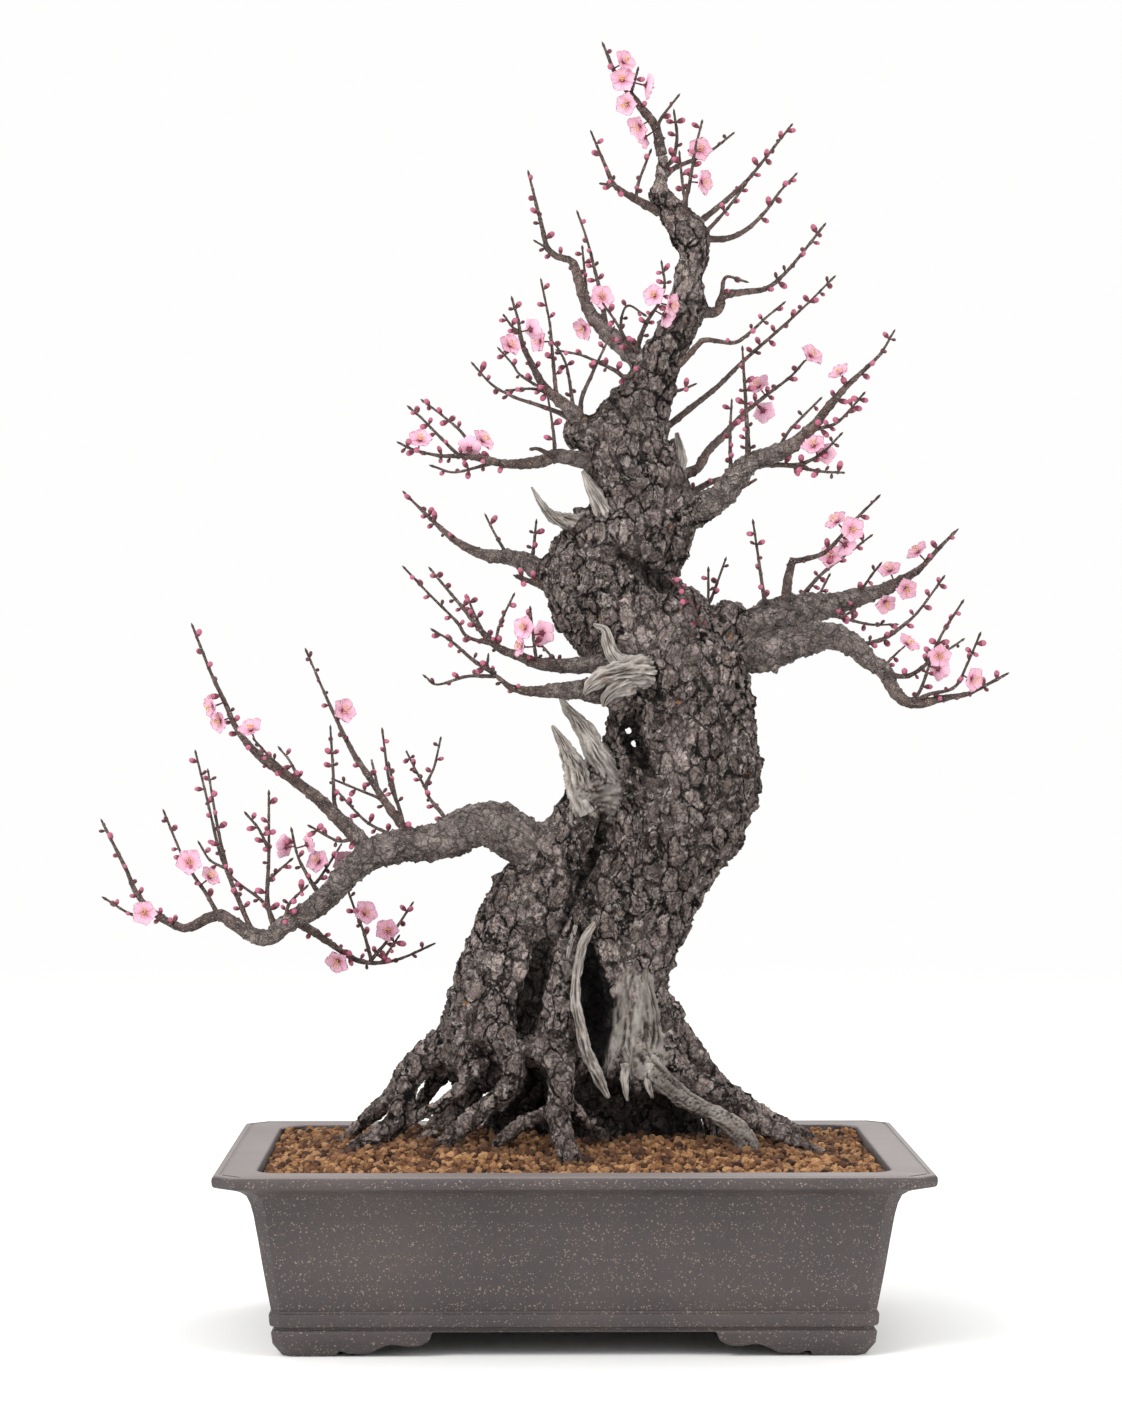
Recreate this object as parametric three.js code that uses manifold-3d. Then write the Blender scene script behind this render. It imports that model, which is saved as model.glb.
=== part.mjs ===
// A flowering Japanese apricot (ume) bonsai in an unglazed rectangular pot.
// Millimetres, +Z up. The origin is on the surface that the pot stands on, under the middle of the
// whole object's outline. The pot's long sides face -Y (front) and +Y (back).
import * as THREE from "three";
import { mergeVertices } from "three/addons/utils/BufferGeometryUtils.js";
import Module from "manifold-3d";

const wasm = await Module();
wasm.setup();

// ---- Driving dimensions ------------------------------------------------------------------------
const POT_LENGTH = 500; // over the rim, left to right
const POT_WIDTH = 350; // over the rim, front to back
const POT_HEIGHT = 130;
const RIM_RADIUS = 30; // corners of the rim, seen from above
const RIM_WIDTH = 30; // flat top of the rim, outer edge to the opening
const RIM_HEIGHT = 7;
const WALL = 13; // the pot's wall below the rim
const FLOOR = 11; // thickness of the pot's floor
const BAND_HEIGHT = 12; // raised band over the feet
const FOOT_HEIGHT = 18;
const FOOT_WALL = 18;
const FOOT_REACH = 104; // from a corner of the foot ring along each side to the end of the foot
const END_FOOT = 0.72; // length of a foot along the short side against the long side
const DRAIN_RADIUS = 16;
const DRAIN_SPACING = 190; // between the middles of the two drainage holes
const WIRE_HOLE_RADIUS = 3.5;
const WIRE_RADIUS = 1.25; // aluminium anchor wire
const ANCHOR_GAP = 6; // from the trunk's foot to an anchor wire, and from the root pad to its legs
const CLIP_RADIUS = 0.8; // aluminium wire of the screen clips
const CLIP_SPAN = 18; // between the two legs of a screen clip
const SCREEN_SIZE = 44; // side of the square drainage screens
const SCREEN_THICKNESS = 1.2;
const SOIL_DROP = 5; // soil at the wall lies this far under the rim
const SOIL_MOUND = 13; // and rises this much to the trunk
const TREE_HEIGHT = 803; // from the height it is planted at to the top of the tallest shoot
const GIRTH = 1; // thickness of the stems against their plan thickness
const ROOT_WALL_GAP = 30; // from the tip of the longest root to the pot's opening
const BLOSSOM_WIDTH = 19;
const FIT = 0.35; // clearance between pieces that touch

// ---- Sizes that follow -------------------------------------------------------------------------
const PLAN_HEIGHT = 803; // the tree's plan below is drawn at this height
const PLANTED_AT = 130; // and its points count their height from 130 under the planting height
const PLAN_ROOT_X = 190; // the plan's longest roots, to the side
const PLAN_ROOT_Y = 130; // and to the back
const PLAN_ROOT_START = 60; // roots leave the trunk this far from its middle
const PLAN_ROOT_TOP = 240; // and under this height
const FOOT_OF_TRUNK = [18, 12, 104, 58]; // plan row of the trunk where it meets the buried root pad
const PAD_HEIGHT = 16; // of the pad of buried roots
const PAD_LIP = 10; // the pad reaches this far past the anchor wires
const PAD_DEPTH = 0.9; // the pad's front-to-back size against its length
const PLAN_SOIL = 125; // the plan's soil level at the pot's wall
const treeScale = TREE_HEIGHT / PLAN_HEIGHT;
const plantedAt = PLANTED_AT + POT_HEIGHT - SOIL_DROP - PLAN_SOIL;
const footInset = 46; // the foot ring's lower edge lies this far inside the rim
const floorTop = FOOT_HEIGHT + 2 + FLOOR;
const openingX = POT_LENGTH / 2 - RIM_WIDTH;
const openingY = POT_WIDTH / 2 - RIM_WIDTH;
const rootScaleX = (openingX - ROOT_WALL_GAP) / PLAN_ROOT_X;
const rootScaleY = (openingY - ROOT_WALL_GAP / 2) / PLAN_ROOT_Y;

function clamp(value) {
  return Math.min(Math.max(value, 0), 1);
}

// ---- Solids ------------------------------------------------------------------------------------
function toSolid(geometry) {
  const bare = geometry.clone();
  bare.deleteAttribute("normal");
  bare.deleteAttribute("uv");
  const merged = mergeVertices(bare, 1e-4);
  const mesh = new wasm.Mesh({
    numProp: 3,
    vertProperties: merged.attributes.position.array,
    triVerts: new Uint32Array(merged.index.array),
  });
  return new wasm.Manifold(mesh);
}

function toGeometry(solid) {
  const mesh = solid.getMesh();
  const geometry = new THREE.BufferGeometry();
  geometry.setAttribute("position", new THREE.BufferAttribute(mesh.vertProperties, 3));
  geometry.setIndex(new THREE.BufferAttribute(mesh.triVerts, 1));
  geometry.computeVertexNormals();
  return geometry;
}

function join(solids) {
  return solids.reduce((whole, next) => whole.add(next));
}

// A closed skin over rings of equal length, with a point at each end.
function skin(rings) {
  const count = rings[0].length;
  const corners = rings.flat().flatMap((point) => point.toArray());
  const faces = [];
  for (let row = 0; row + 1 < rings.length; row++) {
    for (let i = 0; i < count; i++) {
      const a = row * count + i;
      const b = row * count + ((i + 1) % count);
      faces.push(a, b, b + count, a, b + count, a + count);
    }
  }
  for (const row of [0, rings.length - 1]) {
    const middle = new THREE.Vector3();
    rings[row].forEach((point) => middle.add(point));
    corners.push(...middle.divideScalar(count).toArray());
    const tip = corners.length / 3 - 1;
    for (let i = 0; i < count; i++) {
      const a = row * count + i;
      const b = row * count + ((i + 1) % count);
      faces.push(...(row ? [a, b, tip] : [b, a, tip]));
    }
  }
  const geometry = new THREE.BufferGeometry();
  geometry.setAttribute("position", new THREE.Float32BufferAttribute(corners, 3));
  geometry.setIndex(faces);
  return geometry;
}

// A tapering stem through [x, y, z, radius] rows; depth widens it front to back.
function stem(rows, sides, depth = 1, grow = 0) {
  const points = rows.map(([x, y, z]) => new THREE.Vector3(x, y, z));
  const rings = rows.map((row, k) => {
    const before = points[Math.max(k - 1, 0)];
    const after = points[Math.min(k + 1, points.length - 1)];
    const along = after.clone().sub(before).normalize();
    const back = new THREE.Vector3(0, 1, 0).addScaledVector(along, -along.y).normalize();
    const side = new THREE.Vector3().crossVectors(back, along);
    const radius = row[3] + grow;
    const end = k ? (k + 1 < rows.length ? 0 : grow) : -grow;
    return Array.from({ length: sides }, (_, i) => {
      const angle = (2 * Math.PI * i) / sides;
      return points[k]
        .clone()
        .addScaledVector(along, end)
        .addScaledVector(side, radius * Math.cos(angle))
        .addScaledVector(back, radius * depth * Math.sin(angle));
    });
  });
  return toSolid(skin(rings));
}

// A rectangle with round corners at height z.
function roundedRing(halfX, halfY, radius, z, steps = 3) {
  const ring = [];
  const middles = [
    [1, 1],
    [-1, 1],
    [-1, -1],
    [1, -1],
  ];
  middles.forEach(([sx, sy], corner) => {
    for (let i = 0; i <= steps; i++) {
      const angle = (corner + i / steps) * (Math.PI / 2);
      const x = sx * (halfX - radius) + radius * Math.cos(angle);
      const y = sy * (halfY - radius) + radius * Math.sin(angle);
      ring.push(new THREE.Vector3(x, y, z));
    }
  });
  return ring;
}

// Rows of [height, inset from the rim's outer edge, corner radius] make a rectangular vessel form.
function vessel(rows) {
  const rings = rows.map(([z, inset, radius]) =>
    roundedRing(POT_LENGTH / 2 - inset, POT_WIDTH / 2 - inset, radius, z),
  );
  return toSolid(skin(rings));
}

function upright(radius, from, to, x, y, sides = 14) {
  const geometry = new THREE.CylinderGeometry(radius, radius, to - from, sides);
  geometry.rotateX(Math.PI / 2);
  geometry.translate(x, y, (from + to) / 2);
  return toSolid(geometry);
}

// Round wire through [x, y, z] points with rounded bends.
function wire(points, radius, steps) {
  const curve = new THREE.CatmullRomCurve3(
    points.map((point) => new THREE.Vector3(...point)),
    false,
    "catmullrom",
    0.2,
  );
  const section = new THREE.Shape().absarc(0, 0, radius, 0, 2 * Math.PI, false);
  const settings = { extrudePath: curve, steps, curveSegments: 3, bevelEnabled: false };
  return toSolid(new THREE.ExtrudeGeometry(section, settings));
}

// ---- The tree's plan ---------------------------------------------------------------------------
// Every stem is drawn as x and z on the tree's front elevation, as it is seen by an eye this far in
// front of it, and gets its depth y. A point that is set back moves out along its line of sight.
const EYE = new THREE.Vector3(-40, -2717, 456);

// The trunk and branches keep the tree's own scale; the roots' far ends keep to the pot.
function toSpace([x, y, z, radius]) {
  const out = 1 + y / -EYE.y;
  const truX = EYE.x + (x - EYE.x) * out;
  const truZ = EYE.z + (z - EYE.z) * out;
  const reach = Math.hypot(truX - FOOT_OF_TRUNK[0], y * (PLAN_ROOT_X / PLAN_ROOT_Y));
  const far = clamp((reach - PLAN_ROOT_START) / (PLAN_ROOT_X - PLAN_ROOT_START));
  const pull = far * clamp((PLAN_ROOT_TOP - truZ) / PLAN_ROOT_START);
  const share = (atPot) => treeScale + (atPot - treeScale) * pull;
  const up = plantedAt + (truZ - PLANTED_AT) * share(1);
  return [truX * share(rootScaleX), y * share(rootScaleY), up, radius * GIRTH * treeScale];
}

const trunkFoot = toSpace(FOOT_OF_TRUNK);
const padTop = trunkFoot[2];
const anchor = { x: trunkFoot[0] + trunkFoot[3] + ANCHOR_GAP };
const padRadius = anchor.x + PAD_LIP;
anchor.y = PAD_DEPTH * Math.sqrt(padRadius ** 2 - anchor.x ** 2) + 2 * ANCHOR_GAP;

// ---- Pot ---------------------------------------------------------------------------------------
// The space between two feet: flat on top, then the scroll of a cloud foot down to the ground.
// The cut runs through the pot; reach is the distance from its middle to the foot's tip, and
// share shortens the scroll for a shorter foot, so that the foot's flat end stays on the ground.
function footArch(reach, through, share = 1) {
  const scroll = [
    [-2, FOOT_HEIGHT],
    [0, 14],
    [4, 10],
    [10, 8],
    [18, 8],
    [27, 9.5],
    [36, 6],
    [43, 2.6],
    [58, 2.4],
    [61, 4],
    [64, 4],
    [67, -1],
  ];
  const half = scroll.map(([out, z]) => new THREE.Vector2(reach + out * share, z));
  const mirrored = half.map(({ x, y }) => new THREE.Vector2(-x, y)).reverse();
  const settings = { depth: through, bevelEnabled: false };
  const geometry = new THREE.ExtrudeGeometry(new THREE.Shape([...half, ...mirrored]), settings);
  geometry.rotateX(Math.PI / 2);
  geometry.translate(0, through / 2, 0);
  return geometry;
}

function makePot() {
  const band = FOOT_HEIGHT + BAND_HEIGHT;
  const lip = POT_HEIGHT - RIM_HEIGHT;
  const body = lip - band;
  let pot = vessel([
    [0, footInset, 18],
    [FOOT_HEIGHT / 2, footInset - 6, 18],
    [FOOT_HEIGHT, footInset - 7, 18],
    [FOOT_HEIGHT + 2, footInset - 4.5, 18],
    [FOOT_HEIGHT + 4, footInset - 8, 18],
    [band, footInset - 8.5, 18],
    [band + 2, footInset - 6.5, 18],
    [band + body * 0.35, 33.7, 20],
    [band + body * 0.75, 27.5, 22],
    [band + body * 0.9, 24, 22],
    [lip - 3, 15, 24],
    [lip, 2.5, RIM_RADIUS - 1],
    [POT_HEIGHT - RIM_HEIGHT / 2, 0, RIM_RADIUS],
    [POT_HEIGHT - 1, 0.8, RIM_RADIUS],
    [POT_HEIGHT, 2.2, RIM_RADIUS],
  ]);
  const cavity = vessel([
    [floorTop, footInset - 8.5 + WALL, 14],
    [band + body * 0.75, 27.5 + WALL, 16],
    [lip - 3, RIM_WIDTH, 20],
    [POT_HEIGHT + 1, RIM_WIDTH, 20],
  ]);
  const under = vessel([
    [-1, footInset + FOOT_WALL, 8],
    [FOOT_HEIGHT + 2, footInset + FOOT_WALL, 8],
  ]);
  const ringX = POT_LENGTH / 2 - footInset;
  const ringY = POT_WIDTH / 2 - footInset;
  const endArch = footArch(ringY - FOOT_REACH * END_FOOT, POT_LENGTH, END_FOOT);
  endArch.rotateZ(Math.PI / 2);
  pot = pot.subtract(cavity).subtract(under);
  pot = pot.subtract(toSolid(footArch(ringX - FOOT_REACH, POT_WIDTH)));
  pot = pot.subtract(toSolid(endArch));
  for (const side of [-1, 1]) {
    pot = pot.subtract(upright(DRAIN_RADIUS, 0, floorTop + 1, (side * DRAIN_SPACING) / 2, 0));
    for (const end of [-1, 1]) {
      const [x, y] = [side * anchor.x, end * anchor.y];
      pot = pot.subtract(upright(WIRE_HOLE_RADIUS, 0, floorTop + 1, x, y, 8));
    }
  }
  return pot;
}

// ---- What holds the tree and the soil in the pot -----------------------------------------------
function makeScreen(side, grow = 0) {
  const bottom = floorTop + FIT - grow;
  const size = SCREEN_SIZE + 2 * grow;
  const geometry = new THREE.BoxGeometry(size, size, SCREEN_THICKNESS + 2 * grow);
  geometry.translate((side * DRAIN_SPACING) / 2, 0, bottom + SCREEN_THICKNESS / 2 + grow);
  let screen = toSolid(geometry);
  if (!grow) {
    for (const end of [-1, 1]) {
      const x = (side * DRAIN_SPACING) / 2 + (end * CLIP_SPAN) / 2;
      screen = screen.subtract(upright(CLIP_RADIUS + 4 * FIT, 0, POT_HEIGHT, x, 0, 8));
    }
  }
  return screen;
}

// Bent wire over the screen: both legs go down through the drainage hole and turn out below it.
function makeClip(side, grow = 0) {
  const top = floorTop + SCREEN_THICKNESS + 2 * FIT + CLIP_RADIUS;
  const below = FOOT_HEIGHT + 2 - FIT - CLIP_RADIUS;
  const middle = (side * DRAIN_SPACING) / 2;
  const out = DRAIN_RADIUS + 6;
  const leg = CLIP_SPAN / 2;
  const points = [
    [middle - out, 0, below],
    [middle - leg - 3, 0, below],
    [middle - leg, 0, below + 3],
    [middle - leg, 0, top - 2],
    [middle - leg + 2, 0, top],
    [middle + leg - 2, 0, top],
    [middle + leg, 0, top - 2],
    [middle + leg, 0, below + 3],
    [middle + leg + 3, 0, below],
    [middle + out, 0, below],
  ];
  return wire(points, CLIP_RADIUS + grow, 20);
}

// Anchor wire: up through one hole, over the buried root pad, down through the other.
function makeAnchor(side, grow = 0) {
  const x = side * anchor.x;
  const y = anchor.y;
  const below = FOOT_HEIGHT + 2 - FIT - WIRE_RADIUS;
  const over = padTop + WIRE_RADIUS + 2 * FIT;
  const points = [
    [x + side * 14, -y, below],
    [x + side * 4, -y, below],
    [x, -y, below + 4],
    [x, -y, over - 12],
    [x, -y + 12, over],
    [x, 0, over + 1],
    [x, y - 12, over],
    [x, y, over - 12],
    [x, y, below + 4],
    [x + side * 4, y, below],
    [x + side * 14, y, below],
  ];
  return wire(points, WIRE_RADIUS + grow, 24);
}

// ---- The tree's stems --------------------------------------------------------------------------
// Trunk, with rows of [x, y, z, radius].
const MAIN_TRUNK = [
  FOOT_OF_TRUNK,
  [22, 14, 130, 54],
  [26, 14, 160, 50],
  [30, 9, 205, 42],
  [31, 6, 250, 37],
  [45, 4, 300, 42],
  [62, 2, 340, 45],
  [79, 0, 380, 52],
  [87, 0, 412, 52],
  [89, 0, 442, 45],
  [82, 0, 470, 48],
  [68, 1, 500, 51],
  [44, 3, 524, 54],
  [27, 4, 546, 47],
  [42, 4, 570, 42],
  [56, 3, 589, 37],
  [58, 1, 606, 31],
  [48, -1, 626, 35],
  [41, -4, 645, 34],
  [48, -6, 666, 25],
  [57, -8, 686, 19],
  [62, -10, 701, 17],
  [71, -11, 716, 14.5],
  [80, -13, 734, 14.5],
  [84, -14, 751, 13],
  [86, -15, 769, 10.5],
  [90, -16, 783, 11.5],
  [85, -16, 799, 14],
  [75, -17, 812, 11],
  [63, -18, 827, 8.5],
  [65, -18, 834, 5.5],
  [66, -20, 855, 4.2],
  [61, -23, 876, 3.6],
  [48, -26, 893, 2.8],
  [33, -29, 913, 2],
  [24, -32, 933.5, 0.9],
];
const LEFT_TRUNK = [
  [-52, 10, 160, 32],
  [-62, 6, 205, 36],
  [-59, 4, 230, 33],
  [-54, 2, 254, 31],
  [-48, 2, 276, 29],
  [-37, 2, 298, 30],
  [-16, 1, 330, 28],
  [0, 0, 355, 24],
  [14, -2, 380, 22],
  [24, -3, 402, 20],
  [37, -2, 425, 14],
  [42, -2, 446, 14],
  [56, -2, 470, 18],
];
const MIDDLE_RIB = [
  [2, -4, 150, 20],
  [-6, -14, 190, 17],
  [-8, -18, 222, 15],
  [-8, -20, 256, 14],
  [-5, -18, 286, 12],
  [6, -12, 316, 10],
  [26, -8, 350, 8],
];
const KNOBS = [
  [
    [30, -4, 640, 16],
    [12, -6, 651, 15],
    [0, -7, 655, 13],
    [-4, -7, 657, 8],
  ],
  [
    [14, 4, 548, 24],
    [-12, 4, 550, 17],
    [-26, 5, 551, 10],
  ],
  [
    [96, 0, 503, 22],
    [118, -1, 505, 23],
    [124, -2, 505, 21],
  ],
  [
    [84, -14, 744, 12],
    [94, -14, 743, 10],
    [98, -14, 742, 6],
  ],
  [
    [86, -16, 796, 12],
    [96, -15, 796, 7],
    [101, -15, 796, 5],
  ],
];
// The dark hollow between the trunks, as the shape that is cut out.
const HOLLOW = [
  [14, -34, 276, 1.5],
  [13, -36, 262, 6.5],
  [16, -38, 244, 10],
  [18, -40, 224, 11],
  [20, -42, 207, 7],
  [21, -44, 190, 1.5],
];
// Silvery wood without bark: the lips and the panel by the hollow, jins and snags.
const DEADWOOD = [
  [
    [12, -24, 292, 4],
    [5, -28, 268, 4],
    [2, -30, 242, 4.2],
    [5, -32, 218, 4.8],
    [12, -35, 196, 6],
    [19, -37, 181, 6.5],
    [26, -38, 167, 3.5],
  ],
  [
    [34, -20, 275, 11],
    [42, -24, 245, 15],
    [45, -28, 215, 17],
    [48, -33, 195, 16],
    [58, -41, 184, 11],
    [72, -50, 174, 8],
    [84, -52, 164, 7],
    [98, -52, 157, 6.2],
    [111, -52, 151, 6.6],
    [121, -51, 143, 7.5],
    [128, -49, 134, 8],
    [131, -47, 120, 7],
  ],
  [
    [31, -32, 206, 7],
    [29, -36, 190, 5],
    [28, -39, 179, 2],
  ],
  [
    [48, -42, 196, 8],
    [46, -45, 182, 6],
    [47, -47, 170, 3],
  ],
  [
    [14, 0, 582, 12],
    [2, -6, 586, 7.5],
    [-8, -16, 588, 5.2],
    [-18, -28, 592, 3.8],
    [-25, -38, 600, 2.6],
    [-31, -46, 611, 1],
  ],
  [
    [26, -14, 588, 7],
    [19, -16, 606, 6],
    [9, -18, 623, 2],
  ],
  [
    [30, -20, 480, 9],
    [24, -26, 496, 4.5],
    [17, -30, 506, 2.5],
  ],
  [
    [52, -40, 479, 9],
    [36, -45, 474, 8.5],
    [22, -45, 467, 5.5],
    [9, -44, 460, 3],
  ],
  [
    [20, -14, 380, 14],
    [13, -24, 394, 9],
    [7, -32, 408, 6],
    [3, -40, 420, 4.4],
    [-5, -46, 431, 3],
    [-14, -50, 437, 1.2],
  ],
  [
    [28, -12, 396, 10],
    [23, -18, 416, 7.5],
    [14, -20, 433, 6],
    [2, -20, 447, 4.2],
    [-8, -20, 460, 1.2],
  ],
  [
    [0, 6, 556, 9],
    [-10, 8, 562, 6],
    [-12, 9, 569, 3],
  ],
  [
    [74, -6, 622, 8],
    [79, -7, 634, 4],
    [77, -8, 652, 1.5],
  ],
];
// Roots over the soil, each from the trunk out to where it goes under.
const ROOTS = [
  [
    [-70, 0, 218, 20],
    [-100, 6, 199, 12],
    [-118, 20, 186, 9],
    [-132, 34, 167, 6.8],
    [-156, 48, 145, 5.2],
    [-172, 56, 130, 4.5],
  ],
  [
    [-98, -2, 200, 11],
    [-117, -10, 181, 8.5],
    [-123, -14, 163, 7.5],
    [-131, -17, 148, 7],
    [-144, -18, 138, 6.5],
    [-162, -18, 125, 5.5],
  ],
  [
    [-60, -18, 206, 8],
    [-72, -26, 186, 5],
    [-84, -26, 171, 4.8],
    [-98, -22, 160, 4.6],
    [-114, -16, 152, 4.2],
    [-134, -8, 136, 3.5],
  ],
  [
    [-62, -12, 232, 16],
    [-56, -32, 212, 10],
    [-43, -44, 195, 8.5],
    [-42, -48, 180, 8],
    [-53, -46, 167, 7.8],
    [-69, -43, 154, 7.2],
    [-83, -39, 142, 6.8],
    [-103, -36, 122, 6],
  ],
  [
    [-54, -34, 214, 10],
    [-37, -46, 207, 8.5],
    [-19, -54, 200, 8.7],
    [-8, -61, 190, 9],
    [-8, -67, 171, 8.8],
    [-9, -72, 153, 8.6],
    [-6, -77, 137, 8.5],
    [1, -81, 117, 7.5],
  ],
  [
    [-11, -70, 158, 6],
    [-24, -64, 152, 5.2],
    [-37, -56, 147, 5],
    [-50, -48, 136, 4.6],
    [-62, -42, 121, 4],
  ],
  [
    [-5, -64, 165, 5.5],
    [4, -53, 156, 5],
    [15, -42, 146, 4.6],
    [26, -33, 136, 4.3],
    [37, -26, 122, 4],
  ],
  [
    [-64, -10, 190, 9],
    [-75, -14, 168, 5.5],
    [-90, -12, 153, 4.8],
    [-112, -12, 134, 4],
  ],
  [
    [-76, 10, 200, 12],
    [-94, 14, 185, 7],
    [-106, 18, 168, 5.5],
    [-120, 24, 150, 4.6],
    [-136, 32, 130, 4],
  ],
  [
    [56, 4, 236, 16],
    [75, 8, 212, 12],
    [90, 12, 195, 10],
    [106, 18, 176, 8.2],
    [124, 28, 163, 7.2],
    [144, 42, 151, 6.2],
    [166, 62, 140, 5.2],
    [188, 82, 126, 4.2],
  ],
  [
    [62, -14, 204, 14],
    [84, -24, 181, 8.7],
    [100, -26, 172, 7.6],
    [116, -27, 164, 8],
    [132, -26, 152, 7.8],
    [147, -25, 143, 7.2],
    [164, -24, 134, 6],
    [186, -22, 121, 4.8],
  ],
  [
    [88, -24, 178, 8.5],
    [97, -20, 164, 6.8],
    [102, -16, 148, 6],
    [105, -13, 124, 5],
  ],
  [
    [-48, 24, 205, 20],
    [-68, 48, 180, 11],
    [-85, 68, 160, 8],
    [-102, 84, 143, 6.5],
    [-122, 98, 124, 5],
  ],
  [
    [-10, 30, 195, 20],
    [-20, 60, 168, 11],
    [-27, 84, 150, 8.5],
    [-38, 102, 136, 6.5],
    [-50, 120, 120, 5],
  ],
  [
    [30, 34, 200, 20],
    [38, 66, 170, 11],
    [48, 88, 151, 8.5],
    [56, 108, 137, 6.5],
    [70, 128, 120, 5],
  ],
  [
    [60, 26, 205, 16],
    [84, 50, 175, 10],
    [104, 64, 157, 8],
    [124, 80, 142, 6.5],
    [144, 96, 123, 5],
  ],
];
// Short shoots that the trunk itself carries: [depths, radii, x and z along it].
const TRUNK_SHOOTS = [
  [[-2, 16, 24], [3.4, 2], [70, 600, 87, 608, 102, 616, 114, 619]],
  [[-8, -26], [2, 0.9], [60, 679, 79, 683, 89, 687]],
  [[4, -24], [4.5, 1.8], [-12, 540, -29, 543, -40, 547]],
  [[-10, -50], [2.4, 0.8], [55, 701, 40, 693, 31, 698, 9, 708, -9, 712]],
  [[-12, -38, -46, -50], [2.2, 0.8], [100, 503, 92, 516, 85, 532, 71, 546]],
  [[-1, 22], [2, 0.8], [99, 505, 96, 518, 103, 533, 112, 558]],
  [[8, 0], [1.1, 0.8], [99, 525, 100, 534, 100, 550]],
  [[-24, -38], [1.5, 0.8], [61, 873, 67, 884, 77, 897]],
  [[-27, -40], [1.3, 0.8], [43, 898, 48, 916]],
  [[-18, 0], [2, 0.9], [66, 845, 74, 852, 77, 868, 75, 886]],
];

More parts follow.
